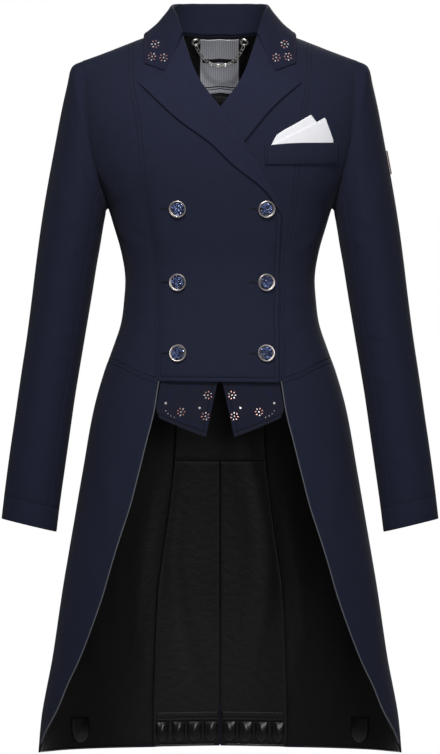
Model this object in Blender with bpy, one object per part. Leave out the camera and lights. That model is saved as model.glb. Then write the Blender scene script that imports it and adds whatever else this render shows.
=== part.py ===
"""Dressage tailcoat in its worn shape, one solid for each piece that a maker cuts or sews on.

The frame: +X is the wearer's left, -Y is the front, +Z is up. The origin lies at shoulder level
on the centre line, where the wearer's shoulders carry the coat. Sizes are in millimetres here
and become metres when a mesh is made.

The coat's outer form is one function, form(around, climb). "around" runs from 0 at the centre
front over 1 at the wearer's left side to 2 at the centre back, and is negative on the right.
"climb" is a height measured up the cloth: 0 at the chest line, OVER_SHOULDER on the ridge.
Panels are patches of that form between their seams, so neighbours share the seam's points.
"""
import math
from collections import namedtuple

import bmesh
import bpy
import numpy as np
from mathutils import Matrix, Vector

MM = 0.001
MIRROR = np.array((-1.0, 1.0, 1.0))
CLOTH_SHARP = 40.0          # edges steeper than this stay sharp, in degrees

# Cloth and gaps
CLOTH = 1.4                 # shell cloth with its interlining
LINING = 1.0
LABEL = 1.0
SEAM_GAP = 0.3              # between two pieces sewn edge to edge
SLEEVE_SEAM_GAP = 0.5       # between the two halves of a sleeve
LINING_GAP = 0.9            # between the shell's inside and the lining
LABEL_GAP = 0.9             # between the lining and a label, pouch or eyelet
LAYER_GAP = 1.1             # between two curved layers that lie on each other
LAPEL_LIFT = CLOTH + LAYER_GAP
FRONT_LIFT = 3.0            # right front over left front, below the lapels
FRONT_LIFT_LAPEL = 5.4      # right front over left front and left lapel
LIFT_MARGIN = 24.0          # how far past the left front's edge the full lift goes
LIFT_RAMP = 40.0            # width over which the lift fades out
LIFT_LAPEL_END = -262.0     # below this height the front no longer clears the left lapel
LIFT_SETTLE = 38.0          # height over which the lift falls to its lower value
PRINCESS_MARGIN = 14.0      # the full lift ends at least this far before the princess seam
NECK_LINING_GAP = 2.0       # lining held back from the neck edge
HEM_LINING_GAP = 3.0        # lining held back from the tail hem
EDGE_LINING_GAP = 1.0       # lining held back from the tail's front edge

# Body form
ROUNDNESS = 2.4             # exponent of the horizontal section, 2 is an ellipse
ROUND_DROP = 110.0          # height over which the chest rounds over to the shoulder ridge
OVER_SHOULDER = 150.0       # climb of the ridge above the chest line
CHEST_RISE = 120.0          # climb from the armpits to the chest line
ARMPIT = -222.0
BACK_WAIST = -428.0
VENT_TOP = -570.0           # top of the centre vent and the seam across the back lining
TYPICAL_HALF_WIDTH = 180.0  # where the search for a height on the form starts
FORM_STEPS = 8              # rounds of that search
SEAM_STEPS = 6              # rounds of the search for a seam's place on the shoulder

Section = namedtuple("Section", "height half_width front_depth back_depth")
BODY = (
    Section(-975, 251.0, 128.0, 135.0),
    Section(-920, 246.0, 127.0, 133.0),
    Section(-845, 232.0, 126.0, 130.0),
    Section(-745, 217.0, 124.0, 125.0),
    Section(-662, 203.0, 121.0, 120.0),
    Section(-580, 189.0, 117.0, 113.0),
    Section(-497, 174.0, 112.0, 105.0),
    Section(-447, 160.0, 108.0, 98.0),
    Section(-414, 148.0, 104.0, 92.0),
    Section(-381, 137.0, 100.0, 85.0),
    Section(-348, 132.5, 97.5, 80.0),
    Section(-315, 131.0, 97.5, 77.0),
    Section(-281, 136.5, 101.0, 78.0),
    Section(-248, 146.0, 107.0, 82.0),
    Section(-217, 156.0, 113.0, 88.0),
    Section(-190, 170.0, 118.0, 92.0),
    Section(-166, 182.0, 121.0, 95.0),
    Section(-130, 193.0, 122.0, 97.0),
    Section(-80, 199.0, 116.0, 96.0),
    Section(-20, 200.0, 104.0, 90.0),
    Section(60, 200.0, 90.0, 84.0),
)

# Height of the shoulder ridge at a distance from the centre line
Ridge = namedtuple("Ridge", "across height")
RIDGE = (
    Ridge(0, 49.0), Ridge(30, 43.5), Ridge(60, 32.0), Ridge(78, 22.0), Ridge(90, 18.5),
    Ridge(104, 14.5), Ridge(124, 7.0), Ridge(152, -4.0), Ridge(179, -14.0),
    Ridge(200, -21.0), Ridge(260, -40.0),
)

# Seams as the front or back view shows them, from the bottom up. "across" is the distance
# from the centre line, negative where a piece reaches over it.
Mark = namedtuple("Mark", "across height")
FRONT_PRINCESS = (
    Mark(84, -460), Mark(86.5, -408), Mark(86.5, -366), Mark(89, -323), Mark(94.5, -273),
    Mark(102, -218), Mark(107, -166), Mark(114, -97), Mark(121.5, -60), Mark(124, 7),
)
BACK_PRINCESS = (
    Mark(93.5, -968), Mark(93, -900), Mark(91, -824), Mark(86, -740), Mark(77, -683),
    Mark(65, -581), Mark(61, -500), Mark(60, -428), Mark(61, -366), Mark(67, -323),
    Mark(78, -273), Mark(92, -218), Mark(104, -166), Mark(112, -110), Mark(120, -60),
    Mark(124, 7),
)
WAIST_SEAM = (Mark(84, -460), Mark(94, -458), Mark(120, -447), Mark(138, -437), Mark(152, -429))
TAIL_FRONT_EDGE = (
    Mark(247, -958), Mark(236, -938), Mark(218, -894), Mark(201, -860), Mark(186, -822),
    Mark(166, -769), Mark(145, -698), Mark(130, -651), Mark(121, -622), Mark(102, -546),
    Mark(90, -498), Mark(84, -460),
)
# The tail's hem round the body, from the front corner to the centre back
Hem = namedtuple("Hem", "around height")
HEM = (Hem(0.88, -958), Hem(0.94, -968), Hem(1.0, -972), Hem(1.3, -971), Hem(2.0, -966))
CENTRE_VENT = (Mark(0.6, -966), Mark(0.2, -860), Mark(0.0, VENT_TOP))
RIGHT_FRONT_EDGE = (
    Mark(-80, -462), Mark(-80, -400), Mark(-80, -330), Mark(-81, -270), Mark(-82, -229),
    Mark(-77, -211), Mark(-66, -190), Mark(-54, -168), Mark(-40, -148), Mark(-28, -126),
    Mark(-14, -108), Mark(-3, -90), Mark(30, -44), Mark(51, 14),
)
LEFT_FRONT_EDGE = (
    Mark(-68, -462), Mark(-68, -400), Mark(-68, -330), Mark(-68, -270), Mark(-68, -229),
    Mark(-67, -211), Mark(-60, -190), Mark(-51, -168), Mark(-40, -148), Mark(-28, -126),
    Mark(-14, -108), Mark(-3, -90), Mark(30, -44), Mark(51, 14),
)
ROLL_LINE_MARKS = 10        # the last marks of a front edge, from the top button to the gorge
RIGHT_LAPEL_EDGE = (
    Mark(-74, -217), Mark(-66, -204), Mark(-58, -193), Mark(-40, -179), Mark(-14, -159),
    Mark(14, -132.5), Mark(50, -107), Mark(72, -88), Mark(112, -50),
)
LEFT_LAPEL_EDGE = (
    Mark(-58, -219), Mark(-50, -209), Mark(-36, -197), Mark(-18, -182), Mark(5, -163),
    Mark(33, -131), Mark(65, -92), Mark(84, -73), Mark(112, -50),
)
LAPEL_TOP = (Mark(51, 14), Mark(63, -10), Mark(74.5, -33), Mark(93, -42), Mark(112, -50))

# The armhole, from the armpit over the front to the shoulder; the back is the same mirrored
Hole = namedtuple("Hole", "around height")
ARMHOLE = (
    Hole(1.000, -222), Hole(0.940, -217), Hole(0.875, -203), Hole(0.815, -182),
    Hole(0.765, -154), Hole(0.738, -124), Hole(0.727, -92), Hole(0.727, -62),
    Hole(0.735, -36),
)
SHOULDER_POINT = 188.0      # across, where sleeve, front and back meet on the ridge
NECK_POINT = 78.0           # across, where the shoulder seam meets the collar

# The neck edge as places on the form, from the neck point
Place = namedtuple("Place", "across climb")
NECK_FRONT = (Place(75.5, 138), Place(71, 126), Place(65, 113), Place(58, 102), Place(51, 91))
NECK_BACK = (Place(72, 129), Place(60, 110), Place(43, 94), Place(22, 82), Place(0, 78))

# Collar stations from the centre back to the gorge: the fold in space, and the fall's edge by
# its distance from the centre line, its height and how far it stands off the form
Station = namedtuple("Station", "fold_x fold_y fold_z edge_across edge_height edge_lift")
COLLAR = (
    Station(0.0, 66.0, 63.0, 0.0, 7.0, 3.2),
    Station(24.0, 63.5, 63.0, 27.0, 6.0, 3.2),
    Station(45.0, 53.5, 62.5, 52.0, 4.0, 3.4),
    Station(58.0, 39.0, 62.0, 75.0, 2.5, 4.2),
    Station(65.0, 22.0, 60.5, 92.0, 4.0, 5.0),
    Station(67.0, 5.0, 58.0, 101.0, 10.5, 5.0),
    Station(66.0, -9.0, 55.5, 103.0, 14.8, 5.0),
    Station(62.0, -24.0, 49.0, 104.0, 12.0, 5.0),
    Station(58.0, -38.0, 39.5, 104.0, 5.0, 4.6),
    Station(55.0, -49.0, 29.0, 104.0, -7.0, 4.0),
    Station(52.0, -58.0, 19.5, 103.5, -23.5, LAPEL_LIFT),
)
FIRST_FRONT_STATION = 6
LEAF_END = (Mark(62.6, -9), Mark(73.5, -31.8), Mark(89, -28.5))
FOLD_RADIUS = 3.4
FOLD_RADIUS_END = 2.4
FOLD_SHOULDER = 0.72        # how far out the fold's side points lie, in fold radii
FOLD_SHOULDER_DROP = 0.3    # and how far down
STAND_FOOT_RISE = 0.6       # the stand starts this far above the neck edge
FALL_ROWS = 4
LEAF_BEND_EASE = 5          # how late the fall bends down to the gorge, as a power
GORGE_GAP = 0.8

# Sleeve rings from the shoulder to the cuff: outermost and innermost point in the front view,
# half the depth from front to back, and how far the arm bends forward
Ring = namedtuple("Ring", "outer_x outer_z inner_x inner_z half_depth forward")
SLEEVE = (
    Ring(204.5, -26.5, 157.0, -223, 56.0, 5),
    Ring(211.0, -52, 157.5, -228, 58.0, 5),
    Ring(219.0, -88, 159.0, -236, 60.0, 4),
    Ring(228.0, -136, 161.5, -250, 61.5, 3),
    Ring(238.0, -190, 165.0, -272, 62.0, 2),
    Ring(246.5, -242, 170.0, -300, 60.5, 2),
    Ring(253.5, -294, 176.0, -338, 58.5, 2),
    Ring(260.0, -348, 184.0, -386, 56.0, 4),
    Ring(267.0, -402, 192.0, -434, 53.5, 8),
    Ring(275.0, -455, 199.5, -480, 51.0, 14),
    Ring(282.5, -508, 206.0, -526, 48.5, 21),
    Ring(290.0, -560, 213.0, -576, 46.0, 29),
    Ring(296.5, -610, 220.0, -626, 44.0, 37),
    Ring(301.0, -649, 225.0, -667, 42.5, 43),
)
RING_POINTS = 18
RING_BUNCHING = 0.2         # how strongly a ring's points gather on the inner side
SAME_WAY = 0.2              # least agreement of two directions that share the armhole
FOREARM_SEAM = 3            # ring point of the front sleeve seam, counted from the inner side
HINDARM_SEAM = 14           # ring point of the back sleeve seam

# Rows and columns of the panels
HEM_TO_VENT_ROWS = 9
VENT_TO_WAIST_ROWS = 3
WAIST_TO_ARMPIT_ROWS = 6
ARMPIT_TO_CHEST_ROWS = 4
CHEST_TO_RIDGE_ROWS = 5
SIDE_COLUMNS = 3
SHOULDER_SEAM_COLUMNS = 2
BODICE_ROWS = WAIST_TO_ARMPIT_ROWS + ARMPIT_TO_CHEST_ROWS + CHEST_TO_RIDGE_ROWS
TAIL_ROWS = HEM_TO_VENT_ROWS + VENT_TO_WAIST_ROWS
LAPEL_ROWS = 12

# Waistcoat points, seen from the front
VEST_TOP = (Mark(1.4, -452), Mark(42, -452), Mark(80.5, -452))
VEST_BOTTOM = (Mark(19.6, -537), Mark(52, -524.5), Mark(84, -510.5))
VEST_OUTER = (Mark(84, -510.5), Mark(88.5, -500), Mark(80.5, -452))
VEST_LAYER = -2.3           # the waistcoat lies behind the front's hem
VEST_GRID = 4

# Breast welt and pocket square on the wearer's left
WELT_CORNERS = (Mark(61, -162), Mark(159.5, -160), Mark(159.5, -131.5), Mark(61, -137))
WELT_LIFT = 4.0
WELT_ROWS = 2
WELT_COLUMNS = 7
SQUARE_TOP = (
    Mark(70, -136), Mark(77.5, -122), Mark(86, -116), Mark(106, -105), Mark(124.5, -94),
    Mark(132.5, -104.5), Mark(143.5, -97.5), Mark(154.5, -128),
)
SQUARE_LIFT = 1.9
SQUARE_CLOTH = 1.0
SQUARE_ROWS = 3
SQUARE_TUCK = 8.0           # how far the square reaches down behind the welt

# Neck label, size label, eyelets and hanger chain, on the back lining
LabelShape = namedtuple("LabelShape", "width height top centre rows columns")
NECK_LABEL = LabelShape(54.0, 74.0, 14.0, -0.7, 4, 4)
SIZE_LABEL = LabelShape(18.0, 10.0, -64.5, 2.0, 1, 2)
EYELET_ACROSS = 34.2
EYELET_HEIGHT = 10.5
EYELET_RING = 4.7
EYELET_WIRE = 1.3
EYELET_SEGMENTS = 18
WIRE_SEGMENTS = 8
CHAIN_DROP = 26.0
CHAIN_WIRE = 1.1
CHAIN_POINTS = 25
CHAIN_CROWDING = 0.86       # power that spaces the points along the chain
CHAIN_SAG = 2.3             # power of the hanging curve
CHAIN_THIN = 0.72           # every other point's share of the wire, as the links show

# Buttons on the right front, columns across and rows of heights
BUTTON_COLUMNS = (-57.0, 62.5)
BUTTON_ROWS = (-222.0, -324.0, -422.0)
BUTTON_RADIUS = 12.0
BUTTON_SEGMENTS = 14
BUTTON_SHARP = 50.0         # edges steeper than this stay sharp, in degrees
ButtonTurn = namedtuple("ButtonTurn", "radius rise")
BUTTON_PROFILE = (
    ButtonTurn(8.0, 0.0), ButtonTurn(11.2, 0.9), ButtonTurn(12.0, 2.4), ButtonTurn(11.0, 3.8),
    ButtonTurn(9.6, 3.5), ButtonTurn(5.2, 4.9),
)
BUTTON_FOOT = 0.5           # gap from the cloth to the button's foot

# Weight pouches inside the tail hem, from the centre out
Pouch = namedtuple("Pouch", "near far low high")
POUCHES = (
    Pouch(3.0, 22.5, -960.5, -933), Pouch(25.5, 45.5, -960.5, -933),
    Pouch(48.5, 66.5, -960.5, -933), Pouch(71.5, 89.0, -960.5, -933),
)
CORNER_POUCH = Pouch(182.0, 205.5, -963, -929)
POUCH_THICKNESS = 4.0
POUCH_RIM = 0.3             # thickness at the rim, as a share
POUCH_GRID = 4

# Badge plate on the left upper sleeve
BADGE_SIZE = (22.0, 33.0)
BADGE_THICKNESS = 1.6
BADGE_GAP = 0.4
BADGE_RING = 4.41           # place along the sleeve, in rows of its grid from the armhole
BADGE_REACH = 0.4           # rings down the sleeve that give the badge its direction
BADGE_CORNER = 5.0
BADGE_CORNER_STEPS = 4

Finish = namedtuple("Finish", "colour roughness metallic")
NAVY = Finish((0.018, 0.020, 0.036), 0.85, 0.0)
NAVY_DARK = Finish((0.011, 0.013, 0.026), 0.85, 0.0)
BLACK_SATIN = Finish((0.006, 0.006, 0.006), 0.35, 0.0)
BLACK_GLOSS = Finish((0.004, 0.004, 0.004), 0.15, 0.0)
WHITE_COTTON = Finish((0.85, 0.85, 0.88), 0.8, 0.0)
SILVER_SATIN = Finish((0.16, 0.15, 0.17), 0.35, 0.0)
SILVER = Finish((0.75, 0.74, 0.72), 0.2, 1.0)
ROSE_METAL = Finish((0.60, 0.38, 0.32), 0.25, 1.0)


# ---------------------------------------------------------------- curves through tables

def smooth(table, column, key, at):
    """Value of a column at a key, on a smooth curve through the table's rows."""
    keys = [getattr(row, key) for row in table]
    values = [getattr(row, column) for row in table]
    if keys[0] > keys[-1]:
        keys.reverse()
        values.reverse()
    at = min(max(at, keys[0]), keys[-1])
    last = len(keys) - 2
    i = min(max(int(np.searchsorted(keys, at)) - 1, 0), last)
    step = keys[i + 1] - keys[i]
    slope = (values[i + 1] - values[i]) / step

    def slope_at(k):
        if k <= 0 or k > last:
            return slope
        before = (values[k] - values[k - 1]) / (keys[k] - keys[k - 1])
        after = (values[k + 1] - values[k]) / (keys[k + 1] - keys[k])
        return 0.5 * (before + after)

    t = (at - keys[i]) / step
    start = slope_at(i) * step
    end = slope_at(i + 1) * step
    rise = values[i + 1] - values[i]
    return values[i] + t * (start + t * (3 * rise - 2 * start - end + t * (start + end - 2 * rise)))


def curve_through(points, steps=12):
    """A dense smooth curve through the given points."""
    points = [np.array(point, float) for point in points]
    ends = [2 * points[0] - points[1]] + points + [2 * points[-1] - points[-2]]
    dense = []
    for i in range(1, len(ends) - 2):
        before, start, end, after = ends[i - 1:i + 3]
        for k in range(steps):
            t = k / steps
            a = 2 * start
            b = (end - before) * t
            c = (2 * before - 5 * start + 4 * end - after) * t * t
            d = (3 * start - before - 3 * end + after) * t ** 3
            dense.append(0.5 * (a + b + c + d))
    dense.append(points[-1])
    return dense


def evenly(points, count):
    """count + 1 points at equal steps along the smooth curve through the given points."""
    dense = curve_through(points)
    lengths = [0.0]
    for before, after in zip(dense, dense[1:]):
        lengths.append(lengths[-1] + float(np.linalg.norm(after - before)))
    wanted = np.linspace(0.0, lengths[-1], count + 1)
    columns = [np.interp(wanted, lengths, [p[k] for p in dense]) for k in range(len(dense[0]))]
    return list(zip(*columns))


# ---------------------------------------------------------------- the coat's outer form

def ridge_height(across):
    return smooth(RIDGE, "height", "across", abs(across))


def body(column, height):
    return smooth(BODY, column, "height", height)


def height_at(across, climb):
    """Height of a place on the form from its climb."""
    chest = ridge_height(across) - ROUND_DROP
    if climb <= -CHEST_RISE:
        return ARMPIT + climb + CHEST_RISE
    if climb <= 0:
        return chest + (chest - ARMPIT) * climb / CHEST_RISE
    return chest + ROUND_DROP * math.sin(climb / OVER_SHOULDER * math.pi / 2)


def climb_at(across, height):
    """Climb of a place on the form from its height."""
    chest = ridge_height(across) - ROUND_DROP
    if height <= ARMPIT:
        return height - ARMPIT - CHEST_RISE
    if height <= chest:
        return (height - chest) / (chest - ARMPIT) * CHEST_RISE
    drop = ridge_height(across) - height
    return math.asin(min(1.0, 1 - drop / ROUND_DROP)) * 2 / math.pi * OVER_SHOULDER


def form(around, climb):
    """Point of the coat's outer form."""
    if around > 2:
        around -= 4
    elif around < -2:
        around += 4
    side = -1.0 if around < 0 else 1.0
    turn = abs(around)
    in_front = turn <= 1
    angle = (turn if in_front else 2 - turn) * math.pi / 2
    out = math.sin(angle) ** (2 / ROUNDNESS)
    deep = max(0.0, math.cos(angle)) ** (2 / ROUNDNESS)
    across = TYPICAL_HALF_WIDTH * out
    for _ in range(FORM_STEPS):
        height = height_at(across, climb)
        across = body("half_width", height) * out
    tuck = math.cos(max(climb, 0.0) / OVER_SHOULDER * math.pi / 2)
    depth = -body("front_depth", height) if in_front else body("back_depth", height)
    return np.array((side * across, depth * deep * tuck, height))


def form_normal(around, climb):
    """Outward direction of the form, for around from 0 to 2 and its mirror."""
    turn_step = 0.003
    climb_step = 0.5
    sideways = form(around + turn_step, climb) - form(around - turn_step, climb)
    upward = form(around, climb + climb_step) - form(around, climb - climb_step)
    normal = np.cross(sideways, upward)
    return normal / np.linalg.norm(normal)


def turn_of(across, height, behind=False):
    share = min(1.0, abs(across) / body("half_width", height))
    turn = math.asin(share ** (ROUNDNESS / 2)) * 2 / math.pi
    if behind:
        turn = 2 - turn
    return -turn if across < 0 else turn


def seen(across, height, behind=False):
    """The place (around, climb) that the front or back view shows at a point."""
    return turn_of(across, height, behind), climb_at(across, height)


def at_height(around, height):
    """The place on the form at a turn round the body and a height."""
    angle = (around if around <= 1 else 2 - around) * math.pi / 2
    across = body("half_width", height) * math.sin(angle) ** (2 / ROUNDNESS)
    return around, climb_at(across, height)


def at_climb(across, climb, behind=False):
    """The place (around, climb) at a distance from the centre line and a climb."""
    return turn_of(across, height_at(across, climb), behind), climb


def on_form(place, lift=0.0):
    around, climb = place
    return form(around, climb) + lift * form_normal(around, climb)


# ---------------------------------------------------------------- patches between seams

def coons(left, right, bottom, top):
    """Rows of places between four boundaries that share their corners."""
    rows = len(left) - 1
    columns = len(bottom) - 1
    left, right, bottom, top = (np.array(side, float) for side in (left, right, bottom, top))
    grid = []
    for i in range(rows + 1):
        v = i / rows
        row = []
        for j in range(columns + 1):
            u = j / columns
            ruled = (1 - u) * left[i] + u * right[i] + (1 - v) * bottom[j] + v * top[j]
            low = (1 - u) * bottom[0] + u * bottom[-1]
            high = (1 - u) * top[0] + u * top[-1]
            row.append(ruled - (1 - v) * low - v * high)
        grid.append(row)
    return grid


class Sheet:
    """A grid of points on a surface with their outward directions."""

    def __init__(self, points, normals):
        self.points = np.array(points, float)
        self.normals = np.array(normals, float)

    def mirrored(self):
        return Sheet(self.points * MIRROR, self.normals * MIRROR)

    def lifted(self, lift):
        return Sheet(self.points + self.normals * np.array(lift)[..., None], self.normals)

    def rows(self, first, last):
        return Sheet(self.points[first:last + 1], self.normals[first:last + 1])

    def columns(self, first, last):
        return Sheet(self.points[:, first:last + 1], self.normals[:, first:last + 1])

    def at(self, row, column):
        """Point and direction between the grid's own points."""
        i = min(int(row), len(self.points) - 2)
        j = min(int(column), len(self.points[0]) - 2)
        v = row - i
        u = column - j
        found = []
        for grid in (self.points, self.normals):
            low = (1 - u) * grid[i, j] + u * grid[i, j + 1]
            high = (1 - u) * grid[i + 1, j] + u * grid[i + 1, j + 1]
            found.append((1 - v) * low + v * high)
        return found[0], found[1] / np.linalg.norm(found[1])


def sheet_on_form(places):
    points = [[form(*place) for place in row] for row in places]
    normals = [[form_normal(*place) for place in row] for row in places]
    return Sheet(points, normals)


def sheet_from_points(points):
    """A sheet whose directions come from its own grid."""
    points = np.array(points, float)
    along = np.gradient(points, axis=0)
    across = np.gradient(points, axis=1)
    normals = np.cross(across, along)
    normals /= np.linalg.norm(normals, axis=2, keepdims=True)
    return Sheet(points, normals)


def joined(first, second):
    """Two sheets side by side that share a column."""
    points = np.concatenate((first.points, second.points[:, 1:]), axis=1)
    normals = np.concatenate((first.normals, second.normals[:, 1:]), axis=1)
    return Sheet(points, normals)


# ---------------------------------------------------------------- solids

def make_object(name, vertices, faces, finish):
    mesh = bpy.data.meshes.new(name)
    mesh.from_pydata([tuple(vertex) for vertex in vertices], [], faces)
    mesh.validate()
    shaped = bmesh.new()
    shaped.from_mesh(mesh)
    if shaped.calc_volume(signed=True) < 0:
        bmesh.ops.reverse_faces(shaped, faces=shaped.faces)
    shaped.to_mesh(mesh)
    shaped.free()
    mesh.shade_smooth()
    mesh.set_sharp_from_angle(angle=math.radians(CLOTH_SHARP))
    mesh.materials.append(material(name, finish))
    piece = bpy.data.objects.new(name, mesh)
    bpy.context.scene.collection.objects.link(piece)
    return piece


def material(name, finish):
    made = bpy.data.materials.new(name)
    made.use_nodes = True
    shader = made.node_tree.nodes["Principled BSDF"]
    shader.inputs["Base Color"].default_value = (*finish.colour, 1.0)
    shader.inputs["Roughness"].default_value = finish.roughness
    shader.inputs["Metallic"].default_value = finish.metallic
    return made


def edge_shifts(points, gaps):
    """How far each point moves in from the sheet's edges; gaps are left, right, bottom, top."""
    shifts = np.zeros_like(points)
    left, right, bottom, top = gaps
    sides = (
        (np.s_[:, 0], np.s_[:, 1], left), (np.s_[:, -1], np.s_[:, -2], right),
        (np.s_[0, :], np.s_[1, :], bottom), (np.s_[-1, :], np.s_[-2, :], top),
    )
    for edge, inside, gap in sides:
        inward = points[inside] - points[edge]
        length = np.linalg.norm(inward, axis=-1, keepdims=True)
        shifts[edge] += inward / length * np.reshape(gap, (-1, 1))
    return shifts


def wall(name, sheet, thickness, finish, gaps=None):
    """A closed wall of cloth: the sheet outside, and its points moved in for the inside."""
    half = SEAM_GAP / 2
    gaps = gaps or (half, half, half, half)
    outer = sheet.points + edge_shifts(sheet.points, gaps)
    inner = outer - sheet.normals * np.reshape(thickness, np.shape(thickness) + (1,))
    rows, columns = outer.shape[:2]
    vertices = list(outer.reshape(-1, 3) * MM) + list(inner.reshape(-1, 3) * MM)
    count = rows * columns
    faces = []
    for i in range(rows - 1):
        for j in range(columns - 1):
            a = i * columns + j
            b, c, d = a + 1, a + columns + 1, a + columns
            faces += [(a, b, c), (a, c, d)]
            faces += [(a + count, c + count, b + count), (a + count, d + count, c + count)]
    rim = [(0, j) for j in range(columns - 1)]
    rim += [(i, columns - 1) for i in range(rows - 1)]
    rim += [(rows - 1, j) for j in range(columns - 1, 0, -1)]
    rim += [(i, 0) for i in range(rows - 1, 0, -1)]
    for (i, j), (k, m) in zip(rim, rim[1:] + rim[:1]):
        a = i * columns + j
        b = k * columns + m
        faces += [(b, a, a + count), (b, a + count, b + count)]
    return make_object(name, vertices, faces, finish)


def both_sides(name, sheet, thickness, finish, gaps=None):
    """The wearer's left piece and its mirrored right piece."""
    wall(name + "_L", sheet, thickness, finish, gaps)
    wall(name + "_R", sheet.mirrored(), thickness, finish, gaps)


# ---------------------------------------------------------------- seams

def bodice_rows(seam, bottom, behind=False):
    """Places up a seam from the waist to the ridge, in the rows that all panels share."""
    def across(height):
        return smooth(seam, "across", "height", height)

    places = []
    for height in np.linspace(bottom, ARMPIT, WAIST_TO_ARMPIT_ROWS + 1):
        places.append(seen(across(height), height, behind))
    start = places[-1][1]
    climbs = list(np.linspace(start, 0, ARMPIT_TO_CHEST_ROWS + 1))[1:]
    climbs += list(np.linspace(0, OVER_SHOULDER, CHEST_TO_RIDGE_ROWS + 1))[1:]
    for climb in climbs:
        x = seam[-1].across
        for _ in range(SEAM_STEPS):
            x = across(height_at(x, climb))
        places.append(at_climb(x, climb, behind))
    return places


def tail_rows(seam, behind=False):
    """Places up a seam from the hem to the waist."""
    bottom = seam[0].height
    heights = list(np.linspace(bottom, VENT_TOP, HEM_TO_VENT_ROWS + 1))
    heights += list(np.linspace(VENT_TOP, BACK_WAIST, VENT_TO_WAIST_ROWS + 1))[1:]
    return [seen(max(0.0, smooth(seam, "across", "height", h)), h, behind) for h in heights]


def armhole_rows(behind=False):
    """Places up the side seam and the armhole."""
    side_bottom = WAIST_SEAM[-1].height
    heights = np.linspace(side_bottom, ARMPIT, WAIST_TO_ARMPIT_ROWS + 1)[:-1]
    places = [at_height(1.0, height) for height in heights]
    for hole in ARMHOLE:
        around = 2 - hole.around if behind else hole.around
        places.append(at_height(around, hole.height))
    places.append(at_climb(SHOULDER_POINT, OVER_SHOULDER, behind))
    return places


def ridge_places(start, end, count, behind=False):
    return [at_climb(x, OVER_SHOULDER, behind) for x in np.linspace(start, end, count + 1)]


def between(first, last, count):
    """Places at equal steps between two places."""
    return [tuple(p) for p in np.linspace(np.array(first), np.array(last), count + 1)]


FRONT_SEAM = bodice_rows(FRONT_PRINCESS, FRONT_PRINCESS[0].height)
BACK_SEAM = bodice_rows(BACK_PRINCESS, BACK_WAIST, behind=True)
BACK_TAIL_SEAM = tail_rows(BACK_PRINCESS, behind=True)
SIDE_FRONT = armhole_rows()
SIDE_BACK = armhole_rows(behind=True)


def waist_front():
    """Places along the waist seam from the front princess seam to the side."""
    inner = [seen(x, h) for x, h in evenly([tuple(m) for m in WAIST_SEAM[:-1]], SIDE_COLUMNS - 1)]
    return [FRONT_SEAM[0]] + inner[1:] + [SIDE_FRONT[0]]


def waist_back():
    """Places along the waist seam from the side to the back princess seam."""
    return between(SIDE_BACK[0], BACK_SEAM[0], SIDE_COLUMNS)


# ---------------------------------------------------------------- panels of the bodice and tails

def cover_edge(height):
    """How far the left front reaches under the right one, in the right front's own distances."""
    return -smooth(LEFT_FRONT_EDGE, "across", "height", height)


def front_lift(across, height):
    """How far the right front stands off the form to pass over the left front and its lapel."""
    princess = smooth(FRONT_PRINCESS, "across", "height", height)
    full = min(cover_edge(height) + LIFT_MARGIN, princess - PRINCESS_MARGIN)
    free = min(full + LIFT_RAMP, princess)
    share = min(1.0, max(0.0, (free - across) / (free - full)))
    below_lapel = min(1.0, max(0.0, (LIFT_LAPEL_END - height) / LIFT_SETTLE))
    return share * (FRONT_LIFT_LAPEL + (FRONT_LIFT - FRONT_LIFT_LAPEL) * below_lapel)


def front_sheet(edge):
    """A front panel, from its edge and roll line to the princess seam."""
    inner = [seen(x, h) for x, h in evenly([tuple(m) for m in edge], BODICE_ROWS)]
    neck = [at_climb(*place) for place in reversed(NECK_FRONT)]
    shoulder = ridge_places(NECK_POINT, FRONT_PRINCESS[-1].across, SHOULDER_SEAM_COLUMNS)
    top = neck + shoulder
    columns = len(top) - 1
    hem_x = np.linspace(edge[0].across, FRONT_PRINCESS[0].across, columns + 1)
    hem_z = np.linspace(edge[0].height, FRONT_PRINCESS[0].height, columns + 1)
    hem = [seen(x, z) for x, z in zip(hem_x, hem_z)]
    inner[0], inner[-1] = hem[0], top[0]
    hem[-1], top[-1] = FRONT_SEAM[0], FRONT_SEAM[-1]
    return sheet_on_form(coons(inner, FRONT_SEAM, hem, top))


def lift_over_left(sheet):
    """The lift of each point of a right-hand sheet that is still in left-hand places."""
    return [[front_lift(point[0], point[2]) for point in row] for row in sheet.points]


def side_front_sheet():
    top = ridge_places(FRONT_PRINCESS[-1].across, SHOULDER_POINT, SIDE_COLUMNS)
    top[0], top[-1] = FRONT_SEAM[-1], SIDE_FRONT[-1]
    return sheet_on_form(coons(FRONT_SEAM, SIDE_FRONT, waist_front(), top))


def side_back_sheet():
    top = ridge_places(SHOULDER_POINT, BACK_PRINCESS[-1].across, SIDE_COLUMNS, behind=True)
    top[0], top[-1] = SIDE_BACK[-1], BACK_SEAM[-1]
    return sheet_on_form(coons(SIDE_BACK, BACK_SEAM, waist_back(), top))


def hem_places(turns):
    return [at_height(turn, smooth(HEM, "height", "around", turn)) for turn in turns]


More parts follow.
